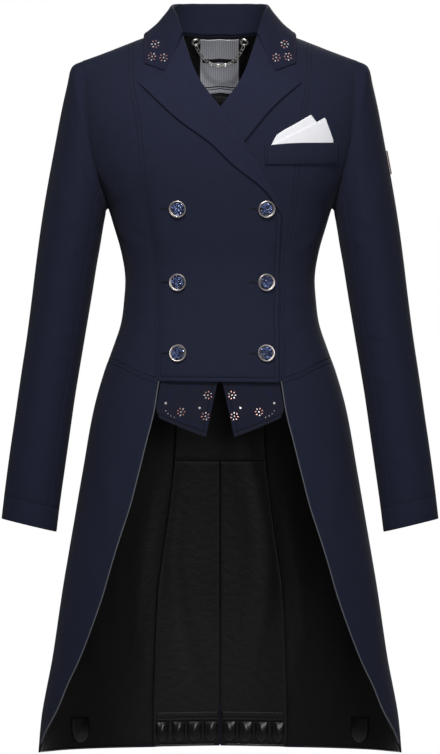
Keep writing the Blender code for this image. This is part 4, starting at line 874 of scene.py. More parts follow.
def sleeve_of(side):
    """A half's sleeve, whose top row is the armhole of the side front and side back."""
    side_front, side_back, _, _ = panels(side)
    sleeve = sleeve_sheet()
    sleeve = sleeve if side > 0 else sleeve.mirrored()
    rows = np.arange(len(sleeve.points))[:, None]
    field = crease_field(sleeve.points, sleeve.normals, SLEEVE_CREASES)
    sleeve = sleeve.lifted(field * np.clip(rows / ARMHOLE_EASE_ROWS, 0, 1))
    count = len(side_front.points) - ARMPIT_ROW
    halves = (
        (side_front, np.s_[ARMPIT_ROW:, -1], np.arange(count)),
        (side_back, np.s_[ARMPIT_ROW:, 0], 2 * (count - 1) - np.arange(count)))
    for panel, edge, columns in halves:
        sleeve.points[0, columns] = panel.points[edge]
        shared = panel.normals[edge] + sleeve.normals[0, columns]
        agree = np.sum(panel.normals[edge] * sleeve.normals[0, columns], axis=-1) > SAME_WAY
        sleeve.normals[0, columns] = np.where(
            agree[:, None], unit(shared), sleeve.normals[0, columns])
    return sleeve


def under_cloth(sheet):
    """The inner face of a lining that lies against a panel's inside."""
    depth = CLOTH + LINING_GAP + LINING
    return Sheet(sheet.points - depth * sheet.normals, -sheet.normals)


def back_lining():
    """The lining of both backs as one sheet, from the seam across the tails to the neck."""
    left, right = (under_cloth(panels(side)[2]).part(rows=slice(VENT_ROW, None))
                   for side, _ in SIDES)
    return joined(left, right.flipped())


def tail_lining(back):
    """The lining of one back panel below the seam across the tails."""
    return under_cloth(back).part(rows=slice(None, VENT_ROW + 1))


def place_on(sheet, across, height):
    """Row and column of a sheet's grid at a point of the front view."""
    middle = sheet.points.shape[1] // 2
    heights = sheet.points[:, middle, 2]
    row = float(np.interp(height, heights, np.arange(len(heights))))
    low = min(int(row), len(heights) - 2)
    share = row - low
    xs = (1 - share) * sheet.points[low, :, 0] + share * sheet.points[low + 1, :, 0]
    order = np.argsort(xs)
    return row, float(np.interp(across, xs[order], order.astype(float)))


def patch_on(sheet, xs, zs, lift):
    """A small sheet on another, over a grid of distances across and heights."""
    points = []
    normals = []
    for z in zs:
        found = [sheet.at(*place_on(sheet, x, z)) for x in xs]
        normals.append([normal for _, normal in found])
        points.append([point + normal * lift for point, normal in found])
    return Sheet(points, normals)


# ---- meshes

def graded(sheet, first, last, spacing):
    """The sheet's rows laid out anew, with lines at fixed distances from both of their ends."""
    lengths = np.array([lengths_along(row)[-1] for row in sheet.points])
    starts = []
    for edge in (first, last):
        distances = np.array([line.inside for line in edge])
        room = np.minimum(1.0, 0.45 * lengths / distances[-1])
        starts.append(distances * room[:, None])
    start = starts[0]
    end = lengths[:, None] - starts[1][:, ::-1]
    widest = lengths.max() - first[-1].inside - last[-1].inside
    share = np.linspace(0, 1, max(2, round(widest / spacing)) + 1)[1:-1]
    middle = start[:, -1:] * (1 - share) + end[:, :1] * share
    distances = np.concatenate((start, middle, end), axis=1)
    rows = [along(*row) for row in zip(sheet.points, distances, sheet.normals)]
    return Sheet([row[0] for row in rows], unit(np.array([row[1] for row in rows])))


def turned(sheet):
    return Sheet(sheet.points.swapaxes(0, 1), sheet.normals.swapaxes(0, 1))


def drop_of(first, last, count):
    drop = np.zeros(count)
    drop[:len(first)] = [line.drop for line in first]
    drop[-len(last):] = [line.drop for line in last][::-1]
    return drop


def stitched_lines(first, last, count):
    lines = [k for k, line in enumerate(first) if line.stitched]
    return lines + [count - 1 - k for k, line in enumerate(last) if line.stitched]


Edges = namedtuple("Edges", "left right bottom top", defaults=(PLAIN,) * 4)
ALL_PRESSED = Edges(*(PRESSED,) * 4)


def cut(sheet, edges, spacing):
    """Lays a sheet's grid out for its edges; returns it with its drops and its stitch lines."""
    sheet = graded(sheet, edges.left, edges.right, spacing)
    sheet = turned(graded(turned(sheet), edges.bottom, edges.top, spacing))
    rows, columns = sheet.points.shape[:2]
    sideways = drop_of(edges.left, edges.right, columns)
    upward = drop_of(edges.bottom, edges.top, rows)
    drop = np.maximum(sideways[None, :], upward[:, None])
    sewn = sheet.lifted(THREAD_RISE - drop)
    across = stitched_lines(edges.bottom, edges.top, rows)
    upright = stitched_lines(edges.left, edges.right, columns)
    first_row = min(across, default=0) if edges.bottom != PLAIN else 0
    lines = []
    for j in upright:
        lines.append((sewn.points[first_row:, j], sewn.normals[first_row:, j]))
    for i in across:
        ends = sorted(upright) if len(upright) > 1 else [0, columns - 1]
        kept = slice(ends[0] if sideways[0] else 0, ends[-1] + 1)
        lines.append((sewn.points[i, kept], sewn.normals[i, kept]))
    return sheet, drop, lines


def linked(name, data):
    made = bpy.data.objects.new(name, data)
    bpy.context.scene.collection.objects.link(made)
    return made


def object_of(name, part, finish, sharp=EDGE_SHARP, places=None):
    """An object from a part: its vertices, in mm, and its faces."""
    vertices, faces = part
    mesh = bpy.data.meshes.new(name)
    mesh.from_pydata((np.asarray(vertices, float) * MM).tolist(), [], faces)
    shaped = bmesh.new()
    shaped.from_mesh(mesh)
    if shaped.calc_volume(signed=True) < 0:
        bmesh.ops.reverse_faces(shaped, faces=shaped.faces)
    shaped.to_mesh(mesh)
    shaped.free()
    if places is not None:
        weave = mesh.attributes.new(WEAVE, "FLOAT_VECTOR", "POINT")
        weave.data.foreach_set("vector", np.asarray(places, np.float32).ravel())
    mesh.shade_smooth()
    mesh.set_sharp_from_angle(angle=math.radians(sharp))
    mesh.materials.append(finish)
    return linked(name, mesh)


def grid_faces(rows, columns, offset=0, closed=False):
    i, j = np.meshgrid(np.arange(rows - 1), np.arange(columns - (not closed)), indexing="ij")
    a = (i * columns + j).ravel() + offset
    b = (i * columns + (j + 1) % columns).ravel() + offset
    return np.stack((a, b, b + columns, a + columns), -1).tolist()


def tube_faces(rings, sides):
    """Faces through rings of points, with both ends closed."""
    last = (rings - 1) * sides
    ends = [tuple(range(sides))[::-1], tuple(range(last, last + sides))]
    return grid_faces(rings, sides, closed=True) + ends


def wall_faces(rows, columns):
    """Faces of a wall between two grids of points, one after the other."""
    count = rows * columns
    faces = grid_faces(rows, columns)
    faces += [tuple(reversed(face)) for face in grid_faces(rows, columns, count)]
    rim = [(0, j) for j in range(columns - 1)] + [(i, columns - 1) for i in range(rows - 1)]
    rim += [(rows - 1, j) for j in range(columns - 1, 0, -1)]
    rim += [(i, 0) for i in range(rows - 1, 0, -1)]
    for (i, j), (k, m) in zip(rim, rim[1:] + rim[:1]):
        a, b = i * columns + j, k * columns + m
        faces.append((b, a, a + count, b + count))
    return faces


def weave_places(points):
    """Each point's place along the threads, in metres."""
    middle = points.shape[1] // 2
    sideways = np.array([lengths_along(row) for row in points])
    sideways = sideways - sideways[:, middle:middle + 1]
    upward = np.array([lengths_along(column) for column in points.swapaxes(0, 1)]).T
    return np.stack((sideways, upward, np.zeros_like(upward)), -1) * MM


def shell(name, sheet, edges, finish, thickness=CLOTH, spacing=None, relief=None):
    """A cloth piece as a thin closed shell; returns it with the lines that are sewn on it."""
    sheet, drop, lines = cut(sheet, edges, spacing or settings().spacing / MM)
    if relief is not None:
        drop = drop - relief(sheet.points)
    outer = sheet.points - sheet.normals * drop[..., None]
    inner = sheet.points - sheet.normals * thickness
    part = np.reshape((outer, inner), (-1, 3)), wall_faces(*drop.shape)
    places = np.tile(weave_places(sheet.points).reshape(-1, 3), (2, 1))
    return object_of(name, part, finish, CLOTH_SHARP, places), lines


def settings():
    return bpy.context.scene.tailcoat


def placed(piece, slot, replaces=(), body="coat"):
    """Hides the solids that a finished piece stands for and parents it to the body it rides on.
    """
    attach(piece, body)
    if replaces:
        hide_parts(*replaces)
    return piece


def solid(name, part, finish, slot="shell_cloth", replaces=(), body="coat", sharp=EDGE_SHARP):
    """A finished piece that isn't cloth, from its part."""
    return placed(object_of(name, part, finish, sharp), slot, replaces, body)


def cloth_piece(name, sheet, edges, finish, slot, held="hung", rests_on=(), trims=(), **shape):
    """A cloth piece that stands for the solid of its name, with its rows of topstitching."""
    piece, lines = shell(name + "_cloth", sheet, edges, finish, **shape)
    placed(piece, slot, (name,))
    threads = list(trims)
    if lines:
        threads.append(stitches(name + "_topstitching", lines, slot, thread_darkened_for_shade()))
    declare(piece, sheet, held, rests_on)


def declare(piece, sheet, held, rests_on=()):
    """Works out a cloth piece's size as cut, its panel laid flat, and uses it no further."""
    points = sheet.points * MM
    width = max(lengths_along(row)[-1] for row in points)
    length = max(lengths_along(column)[-1] for column in points.swapaxes(0, 1))
    list(rests_on)


def stitches(name, lines, slot, finish):
    """Short thread stitches, in relief, along the given lines."""
    vertices = []
    faces = []
    for points, normals in lines:
        length = lengths_along(points)[-1]
        count = int(length / STITCH_PITCH)
        if count < 1:
            continue
        start = (np.arange(count) + 0.15) * length / count
        end = start + STITCH_LENGTH
        ends, ways = along(points, np.concatenate((start, np.minimum(end, length))), normals)
        a, b, n = ends[:count], ends[count:], unit(ways[:count])
        side = unit(np.cross(b - a, n)) * THREAD / 2
        middle = 0.5 * (a + b)
        base = len(vertices)
        corners = np.stack((a, b, middle + side, middle + n * THREAD / 2,
                            middle - side, middle - n * THREAD / 2), 1)
        vertices.extend(corners.reshape(-1, 3))
        for k in range(count):
            s = base + 6 * k
            ring = (s + 2, s + 3, s + 4, s + 5)
            for p, q in zip(ring, ring[1:] + ring[:1]):
                faces += [(s, p, q), (s + 1, q, p)]
    return solid(name, (vertices, faces), finish, slot, sharp=THREAD_SHARP)


def circle(count):
    """Cosines and sines of even turns, shaped to multiply rows of vectors."""
    turn = np.linspace(0, 2 * np.pi, count, endpoint=False)
    return np.cos(turn)[None, :, None], np.sin(turn)[None, :, None]


def cord(points, radius):
    """Vertices and faces of a closed round cord along a line."""
    forward = unit(np.gradient(points, axis=0))
    side = np.cross(forward, (0.0, 0.0, 1.0))
    weak = np.linalg.norm(side, axis=-1) < 0.05
    side[weak] = np.cross(forward[weak], (0.0, 1.0, 0.0))
    side = unit(side)
    up = np.cross(side, forward)
    cosine, sine = circle(CORD_SIDES)
    rings = points[:, None] + radius * (cosine * side[:, None] + sine * up[:, None])
    return rings.reshape(-1, 3), tube_faces(len(points), CORD_SIDES)


def gather(parts):
    """Joins lists of (vertices, faces) into one."""
    vertices = []
    faces = []
    count = 0
    for points, polygons in parts:
        vertices.append(np.asarray(points, float))
        faces += [tuple(k + count for k in face) for face in polygons]
        count += len(points)
    return np.concatenate(vertices), faces


def cords(name, lines, radius, finish, slot="shell_cloth"):
    return solid(name, gather([cord(line, radius) for line in lines]), finish, slot,
                 sharp=CORD_SHARP)


# ---- materials

def linear(colour):
    """Linear colour of an sRGB hex value."""
    parts = [int(colour[k:k + 2], 16) / 255 for k in (1, 3, 5)]
    return tuple(c / 12.92 if c <= 0.04045 else ((c + 0.055) / 1.055) ** 2.4 for c in parts)


def add(tree, kind, options=None, links=None):
    """Adds a node with its settings; links gives each input a value or another node's output."""
    node = tree.nodes.new(kind)
    for name, value in (options or {}).items():
        setattr(node, name, value)
    for name, value in (links or {}).items():
        if isinstance(value, bpy.types.NodeSocket):
            tree.links.new(value, node.inputs[name])
        else:
            node.inputs[name].default_value = value
    return node


def made_once(make):
    """Lets a material be asked for by name and colour again and again, and makes it once."""
    def find(name, colour, *finish):
        return bpy.data.materials.get(name) or make(name, tuple(colour), *finish)
    return find


def start_material(name, colour, roughness, metallic=0.0, woven=False, **sockets):
    """A new material with the values that are the same all over.

    Gives back the material, its tree, its shader and the place of a pattern, which is along the
    threads for a woven one and otherwise on the object.
    """
    made = bpy.data.materials.new(name)
    made.use_nodes = True
    made.diffuse_color = (*colour, 1.0)
    shader = made.node_tree.nodes["Principled BSDF"]
    shader.inputs["Base Color"].default_value = (*colour, 1.0)
    shader.inputs["Roughness"].default_value = roughness
    shader.inputs["Metallic"].default_value = metallic
    for socket, value in sockets.items():
        shader.inputs[socket.replace("_", " ")].default_value = value
    tree = made.node_tree
    if woven:
        place = add(tree, "ShaderNodeAttribute", {"attribute_name": WEAVE}).outputs["Vector"]
    else:
        place = add(tree, "ShaderNodeTexCoord").outputs["Object"]
    return made, tree, shader, place


def tinted(tree, shader, colour, amount, factor):
    """Varies the base colour by an amount, by a factor from 0 to 1."""
    dark = tuple(c * (1 - amount) for c in colour)
    light = tuple(c * (1 + amount) for c in colour)
    mixed = add(tree, "ShaderNodeMix", {"data_type": "RGBA"}, {
        0: factor, 6: (*dark, 1.0), 7: (*light, 1.0)})
    tree.links.new(mixed.outputs[2], shader.inputs["Base Color"])


def raised(tree, shader, height, strength, distance):
    bump = add(tree, "ShaderNodeBump", None, {
        "Strength": strength, "Distance": distance, "Height": height})
    tree.links.new(bump.outputs["Normal"], shader.inputs["Normal"])


@made_once
def worsted(name, colour):
    """Milled worsted suiting, woven in twill and shrunk until the ribs all but close.

    It is matt and smooth, with a faint nap and no thread that shows from a step away.
    """
    made, tree, shader, place = start_material(
        name, colour, 0.85, woven=True, IOR=1.5, Specular_IOR_Level=0.08, Sheen_Weight=0.025,
        Sheen_Roughness=0.5)
    # Twill ribs are 0.4 mm apart; drawn at 1.3 mm, about one pixel, which is as fine as shows
    rib = add(tree, "ShaderNodeTexWave", {"bands_direction": "DIAGONAL"}, {
        "Vector": place, "Scale": DIAGONAL_BAND / TWILL_PITCH, "Distortion": 0.6,
        "Detail": 1.0, "Detail Scale": 0.4})
    # Nap: fibres brushed one way, seen as soft clouds about 14 mm across
    nap = add(tree, "ShaderNodeTexNoise", None, {
        "Vector": place, "Scale": 1 / NAP_SIZE, "Detail": 3.0})
    height = add(tree, "ShaderNodeMath", {"operation": "MULTIPLY_ADD"}, {
        0: rib.outputs["Fac"], 1: 0.35, 2: nap.outputs["Fac"]})
    tinted(tree, shader, colour, 0.10, nap.outputs["Fac"])
    raised(tree, shader, height.outputs["Value"], 0.35, 0.00025)
    return made


@made_once
def lining_satin(name, colour):
    """Acetate satin lining: warp floats along the body give a low gloss with faint mottling."""
    made, tree, shader, place = start_material(
        name, colour, 0.42, woven=True, IOR=1.48, Specular_IOR_Level=0.16, Sheen_Weight=0.02)
    clouds = add(tree, "ShaderNodeTexNoise", None, {
        "Vector": place, "Scale": 1 / SATIN_CLOUD, "Detail": 4.0,
        "Roughness": 0.6})
    # Warp threads are 0.1 mm apart; drawn at 1.5 mm so that their streaks show at all
    warp = add(tree, "ShaderNodeTexWave", {"bands_direction": "X"}, {
        "Vector": place, "Scale": STRAIGHT_BAND / SATIN_STREAK, "Distortion": 2.0,
        "Detail": 2.0, "Detail Scale": 0.3})
    height = add(tree, "ShaderNodeMath", {"operation": "MULTIPLY_ADD"}, {
        0: warp.outputs["Fac"], 1: 0.08, 2: clouds.outputs["Fac"]})
    tinted(tree, shader, colour, 0.35, clouds.outputs["Fac"])
    raised(tree, shader, height.outputs["Value"], 0.4, 0.0012)
    return made


@made_once
def label_satin(name, colour):
    """Woven satin label tape: silver-grey weft floats with a soft, slightly metallic gloss."""
    made, tree, shader, place = start_material(
        name, colour, 0.38, 0.25, woven=True, IOR=1.5, Specular_IOR_Level=0.5,
        Sheen_Weight=0.1)
    # Warp bundles of about 0.3 mm, drawn at 3 mm to show as faint upright streaks
    warp = add(tree, "ShaderNodeTexWave", {"bands_direction": "X"}, {
        "Vector": place, "Scale": STRAIGHT_BAND / LABEL_RIB, "Distortion": 1.5,
        "Detail": 2.0, "Detail Scale": 0.6})
    tinted(tree, shader, colour, 0.2, warp.outputs["Fac"])
    raised(tree, shader, warp.outputs["Fac"], 0.3, 0.0004)
    return made


@made_once
def batiste(name, colour):
    """White cotton batiste, ironed flat: a fine plain weave, matt and bright."""
    made, tree, shader, place = start_material(
        name, colour, 0.8, woven=True, IOR=1.5, Specular_IOR_Level=0.25)
    # Threads 0.25 mm apart, drawn at 1 mm
    weave = add(tree, "ShaderNodeTexChecker", None, {
        "Vector": place, "Scale": 1 / BATISTE_THREAD})
    tinted(tree, shader, colour, 0.02, weave.outputs["Fac"])
    raised(tree, shader, weave.outputs["Fac"], 0.15, 0.0001)
    return made


@made_once
def black_gloss(name, colour):
    """Polyurethane coat on polyester, or fired enamel: deep black with a wet gloss."""
    made, tree, shader, place = start_material(
        name, colour, 0.28, IOR=1.5, Specular_IOR_Level=0.25, Coat_Weight=0.15,
        Coat_Roughness=0.12)
    grain = add(tree, "ShaderNodeTexNoise", None, {
        "Vector": place, "Scale": 1 / COATING_GRAIN, "Detail": 2.0})
    tinted(tree, shader, colour, 0.2, grain.outputs["Fac"])
    raised(tree, shader, grain.outputs["Fac"], 0.25, 0.0006)
    return made


@made_once
def plated(name, colour, roughness):
    """Plated brass, tumbled: bright, with a fine scatter of polishing marks."""
    made, tree, shader, place = start_material(name, colour, roughness, metallic=1.0)
    marks = add(tree, "ShaderNodeTexNoise", None, {
        "Vector": place, "Scale": 1 / POLISH_MARK, "Detail": 3.0})
    tinted(tree, shader, colour, 0.12, marks.outputs["Fac"])
    raised(tree, shader, marks.outputs["Fac"], 0.12, 0.0002)
    return made


@made_once
def cut_crystal(name, colour, roughness, metallic, painted_glint=0.3):
    """Foil-backed lead crystal, machine cut: facets that throw back light or stay dark, with
    painted glints that lighten or darken each stone's colour.
    """
    made, tree, shader, place = start_material(
        name, colour, roughness, metallic=metallic, IOR=1.56, Coat_Weight=0.3,
        Coat_Roughness=0.1)
    # Stones are about 2 mm wide; painted glints: every cell lightens or darkens the colour as if
    # its stone caught the light in its own way
    flare = add(tree, "ShaderNodeTexVoronoi", None, {
        "Vector": place, "Scale": 1 / STONE_CELL})
    tone = add(tree, "ShaderNodeSeparateColor", None, {"Color": flare.outputs["Color"]})
    spark = add(tree, "ShaderNodeMath", {"operation": "POWER"}, {
        0: tone.outputs["Red"], 1: 2.2})
    tinted(tree, shader, colour, painted_glint, spark.outputs["Value"])
    return made


@made_once
def yarn(name, colour):
    """Twisted thread: a low sheen along each stitch."""
    made, tree, shader, place = start_material(
        name, colour, 0.6, IOR=1.5, Specular_IOR_Level=0.2, Sheen_Weight=0.03)
    twist = add(tree, "ShaderNodeTexNoise", None, {
        "Vector": place, "Scale": 1 / YARN_TWIST, "Detail": 1.0})
    tinted(tree, shader, colour, 0.2, twist.outputs["Fac"])
    raised(tree, shader, twist.outputs["Fac"], 0.3, 0.0001)
    return made


# Sewing thread whose colour is darkened to paint the shade of the grooves that it lies in
def thread_darkened_for_shade():
    return yarn("polyester sewing thread", settings().thread_with_painted_shade_colour)


def coat_cloth():
    return worsted("milled worsted suiting", settings().cloth_colour)


def lining():
    return lining_satin("acetate satin lining", settings().lining_colour)


# ---- pieces of the coat

def rolled(lapel):
    """The lapel with its fold: half a round at the roll line, back to the front's inside."""
    top = lapel.points[:, 0]
    normal = lapel.normals[:, 0]
    inward = lapel.points[:, 1] - top
    inward = unit(inward - normal * np.sum(inward * normal, axis=-1, keepdims=True))
    centre = top - ROLL_RADIUS * normal
    turns = np.linspace(np.pi, 0, ROLL_STEPS)[:-1]
    ways = np.stack([np.cos(a) * normal - np.sin(a) * inward for a in turns], axis=1)
    points = centre[:, None] + ROLL_RADIUS * ways
    return Sheet(
        np.concatenate((points, lapel.points), axis=1),
        np.concatenate((ways, lapel.normals), axis=1))


def lapel_of(side):
    """A lapel that lies on its front and stands off it a little at its outer edge."""
    left = (LEFT_FRONT_EDGE, LEFT_LAPEL_EDGE)
    right = (RIGHT_FRONT_EDGE, RIGHT_LAPEL_EDGE)
    lapel = lapel_sheet(*(left if side > 0 else right))
    rows, columns = lapel.points.shape[:2]
    outward = np.linspace(0, 1, columns)[None, :] ** LAPEL_STAND_RISE
    below_gorge = 1 - np.linspace(0, 1, rows)[:, None] ** LAPEL_STAND_FALL
    lift = LAPEL_LIFT + LAPEL_STAND * outward * below_gorge
    if side > 0:
        return creased(lapel.lifted(lift))
    return creased(lapel.lifted(front_lift(lapel.points) + lift).mirrored())


def vest_sheet():
    inner = between(VEST_BOTTOM[0], VEST_TOP[0], VEST_GRID)
    outer = evenly(VEST_OUTER, VEST_GRID)
    marks = coons(inner, outer, evenly(VEST_BOTTOM, VEST_GRID), evenly(VEST_TOP, VEST_GRID))
    return on_form(seen(finer(marks))).lifted(VEST_LAYER)


def welt_sheet():
    low_near, low_far, high_far, high_near = WELT_CORNERS
    low = between(low_near, low_far, 24)
    high = between(high_near, high_far, 24)
    share = np.linspace(0, 1, 25)
    high[:, 1] += WELT_BOW * np.sin(np.pi * share) * (1.2 - share)
    marks = np.linspace(low, high, 9)
    return creased(on_form(seen(marks)).lifted(WELT_LIFT))


def square_sheet():
    """The pressed pocket square, from behind the welt up to its two peaks."""
    _, _, high_far, high_near = WELT_CORNERS
    across = np.linspace(SQUARE_TOP[0].across, SQUARE_TOP[-1].across, 60)
    top = np.interp(across, [m.across for m in SQUARE_TOP], [m.height for m in SQUARE_TOP])
    start = np.interp(
        across, (high_near.across, high_far.across), (high_near.height, high_far.height))
    heights = np.linspace(start - SQUARE_TUCK, top, 24)
    marks = np.stack(np.broadcast_arrays(across, heights), -1)
    return creased(on_form(seen(marks)).lifted(SQUARE_LIFT))


def square_fold(points):
    """Relief of the upper layer of the square, below the fold that runs from its valley."""
    valley, end = np.array(SQUARE_FOLD)
    way = unit(end - valley)
    off = (points[..., (0, 2)] - valley) @ np.array((-way[1], way[0]))
    return SQUARE_LAYER * ramp(off, -SQUARE_FOLD_WIDTH / 2, SQUARE_FOLD_WIDTH / 2)


class TAILCOAT_OT_body(bpy.types.Operator):
    """Fronts, side fronts, side backs, backs and tail sides, with seams and topstitching"""
    bl_idname = "tailcoat.body"
    bl_label = "Body Panels"

    def execute(self, context):
        cloth = coat_cloth()
        for side, mark in SIDES:
            side_front, side_back, back, tail_side = panels(side)
            made = (
                ("front", front_panel(side),
                 Edges(EDGE_STITCHED, TOPSTITCHED, EDGE_STITCHED, SEAM), "side_front"),
                ("side_front", side_front,
                 Edges(TOPSTITCHED, SEAM, TOPSTITCHED, SEAM), "side_back"),
                ("side_back", side_back, Edges(SEAM, TOPSTITCHED, TOPSTITCHED, SEAM), "back"),
                ("back", back, Edges(TOPSTITCHED, SEAM, PRESSED, SEAM), "side_back"),
                ("tail_side", tail_side,
                 Edges(PRESSED, TOPSTITCHED, PRESSED, TOPSTITCHED), "side_front"),
            )
            for name, sheet, edges, carrier in made:
                cloth_piece("%s_%s" % (name, mark), sheet, edges, cloth, "shell_cloth",
                            rests_on=["%s_%s" % (carrier, mark)])
        return {"FINISHED"}


class TAILCOAT_OT_collar(bpy.types.Operator):
    """Lapels with their rolled folds, and the collar with its stand, fall and bordered edge"""
    bl_idname = "tailcoat.collar"
    bl_label = "Lapels and Collar"

    def execute(self, context):
        # The lapels take a slightly lighter copy of the coat cloth: painted light
        facing = worsted("milled worsted facing", settings().lapel_light_colour)
        # The collar takes the darker sleeve cloth: painted shade
        fall = worsted("milled worsted collar", settings().sleeve_and_collar_shade_colour)
        for side, mark in SIDES:
            cloth_piece("lapel_" + mark, rolled(lapel_of(side)),
                        Edges(PLAIN, PRESSED, PRESSED, SEAM), facing, "shell_cloth",
                        held="folded", rests_on=["front_" + mark])
        sheet = collar_sheet()
        piece, lines = shell("collar_cloth", sheet, Edges(SEAM, BORDER, PRESSED, PRESSED),
                             fall, spacing=3.5)
        placed(piece, "shell_cloth", ("collar",))
        border = stitches("collar_border_stitching", lines, "shell_cloth",
                          yarn("rose buttonhole twist", settings().border_colour))
        declare(piece, sheet, "folded", ["back_L", "back_R"])
        return {"FINISHED"}


class TAILCOAT_OT_sleeves(bpy.types.Operator):
    """Top and under sleeves, with the creases of the elbow and the line of the cuff"""
    bl_idname = "tailcoat.sleeves"
    bl_label = "Sleeves"

    def execute(self, context):
        # A darker copy of the coat cloth: painted shade on the sleeves, which turn from the light
        cloth = worsted("milled worsted sleeve", settings().sleeve_and_collar_shade_colour)
        edges = Edges(SEAM, SEAM, SEAM, CUFF)
        for side, mark in SIDES:
            sleeve = sleeve_of(side)
            seams = (FINER * FOREARM_SEAM, FINER * HINDARM_SEAM)
            top = sleeve.part(columns=slice(seams[0], seams[1] + 1))
            outside = sleeve.part(columns=slice(seams[1], None))
            inside = sleeve.part(columns=slice(None, seams[0] + 1))
            cloth_piece("top_sleeve_" + mark, top, edges, cloth, "shell_cloth",
                        rests_on=["side_front_" + mark])
            cloth_piece("under_sleeve_" + mark, joined(outside, inside), edges, cloth,
                        "shell_cloth", rests_on=["top_sleeve_" + mark])
        return {"FINISHED"}


class TAILCOAT_OT_linings(bpy.types.Operator):
    """Satin linings of back and tails, the vent's underlap and the tapes in the seams"""
    bl_idname = "tailcoat.linings"
    bl_label = "Linings"

    def execute(self, context):
        satin = lining()
        cloth = coat_cloth()
        back = panels(1)[2].part(rows=slice(0, VENT_ROW + 4))
        heights = np.linspace(UNDERLAP.low, UNDERLAP.high, 60)
        xs = np.linspace(UNDERLAP.near, UNDERLAP.far, 7)
        half = patch_on(back, xs, heights, -CLOTH - UNDERLAP_GAP)
        whole = joined(half.mirrored().flipped(), half)
        piece, _ = shell("vent_underlap", whole, Edges(), cloth, UNDERLAP_CLOTH)
        placed(piece, "shell_cloth")
        declare(piece, whole, "hung", ["back_L"])
        for side, mark in SIDES:
            sleeve = sleeve_of(side)
            side_front, side_back, _, _ = panels(side)
            ways = np.concatenate((
                side_front.normals[ARMPIT_ROW:, -1], side_back.normals[ARMPIT_ROW:-1, 0][::-1]))
            line = sleeve.points[0] - ARMHOLE_TAPE_DEPTH * (ways + sleeve.normals[0])
            cords("armhole_tape_" + mark, [line], ARMHOLE_TAPE, cloth)
            ridges = [panel.points[-1] - SHOULDER_TAPE_DEPTH * panel.normals[-1]
                      for panel in (front_panel(side), side_front)]
            cords("shoulder_tape_" + mark, ridges, SHOULDER_TAPE, cloth)
        sheet = back_lining()
        cloth_piece("lining_back", sheet, Edges(SEAM, SEAM, SEAM, held_back(2.0)), satin,
                    "lining_satin", rests_on=["back_L", "back_R"], thickness=LINING)
        for side, mark in SIDES:
            _, _, back, tail_side = panels(side)
            cloth_piece("lining_tail_back_" + mark, tail_lining(back),
                        Edges(SEAM, PRESSED, held_back(3.0), SEAM), satin, "lining_satin",
                        rests_on=["back_" + mark], thickness=LINING)
            # The tail sides' lining is a darker copy of the lining satin: painted shade where the
            # sides turn away
            cloth_piece("lining_tail_side_" + mark, under_cloth(tail_side),
                        Edges(held_back(1.0), SEAM, held_back(3.0), SEAM),
                        lining_satin("acetate satin side lining", settings().side_lining_shade_colour),
                        "lining_satin", rests_on=["tail_side_" + mark], thickness=LINING)
        return {"FINISHED"}


class TAILCOAT_OT_vest(bpy.types.Operator):
    """The two points of the waistcoat front, with a stitched edge"""
    bl_idname = "tailcoat.vest"
    bl_label = "Waistcoat Points"

    def execute(self, context):
        cloth = worsted("milled worsted waistcoat", settings().vest_colour)
        for side, mark in SIDES:
            sheet = vest_sheet()
            sheet = creased(sheet if side > 0 else sheet.mirrored())
            cloth_piece("vest_point_" + mark, sheet,
                        Edges(EDGE_STITCHED, PLAIN, EDGE_STITCHED, PLAIN), cloth,
                        "shell_cloth", rests_on=["front_" + mark], spacing=3.5)
        return {"FINISHED"}


class TAILCOAT_OT_pocket(bpy.types.Operator):
    """The breast welt and the ironed square behind it"""
    bl_idname = "tailcoat.pocket"
    bl_label = "Pocket and Square"

    def execute(self, context):
        cloth_piece("breast_welt", welt_sheet(), Edges(WELT_END, WELT_END, WELT_FOOT, PRESSED),
                    coat_cloth(), "shell_cloth", held="laid", rests_on=["front_L"],
                    spacing=3.0)
        cloth_piece("pocket_square", square_sheet(), ALL_PRESSED,
                    batiste("ironed cotton batiste", settings().square_colour),
                    "square_cotton", held="folded", rests_on=["breast_welt"],
                    thickness=SQUARE_CLOTH, spacing=1.6, relief=square_fold)
        return {"FINISHED"}


def label_patch(sheet, shape, insets=(0.0, 0.0, 0.0, 0.0), lift=LABEL_GAP + LABEL):
    """A label's outer face, or the part of it that is left after insets on its four sides."""
    left, right, low, high = insets
    start = shape.centre - shape.width / 2 + left
    end = shape.centre + shape.width / 2 - right
    bottom = shape.top - shape.height + low
    top = shape.top - high
    xs = np.linspace(start, end, max(3, round((end - start) / LABEL_STEP)) + 1)
    zs = np.linspace(bottom, top, max(3, round((top - bottom) / LABEL_STEP)) + 1)
    return patch_on(sheet, xs, zs, lift)


class TAILCOAT_OT_labels(bpy.types.Operator):
    """The plain neck label with its woven bars and painted edge highlights, and the small size
    label
    """
    bl_idname = "tailcoat.labels"
    bl_label = "Labels"

    def execute(self, context):
        sheet = back_lining()
        silver = label_satin("woven label satin", settings().label_colour)
        dark = yarn("dark woven bar", settings().bar_and_slit_shade_colour)
        bright = label_satin("bright selvedge", settings().label_edge_highlight_colour)
        facts = {"held": "laid", "rests_on": ["lining_back"], "thickness": LABEL, "spacing": 2.0}
        woven = []
        # Dark woven bars, then the light strips of painted highlight on the label's turned edges
        for bars, finish in ((DARK_BARS, dark), (BRIGHT_BARS, bright)):
            for name, *insets in bars:
                patch = label_patch(sheet, NECK_LABEL, insets, LABEL_GAP + LABEL + BAR_LIFT)
                bar, _ = shell(name, patch, Edges(), finish, BAR_CLOTH, 2.0)
                woven.append(placed(bar, "label_satin"))
        cloth_piece("neck_label", label_patch(sheet, NECK_LABEL), ALL_PRESSED, silver,
                    "label_satin", trims=woven, **facts)
        cloth_piece("size_label", label_patch(sheet, SIZE_LABEL), ALL_PRESSED, dark,
                    "size_label", **facts)
        return {"FINISHED"}


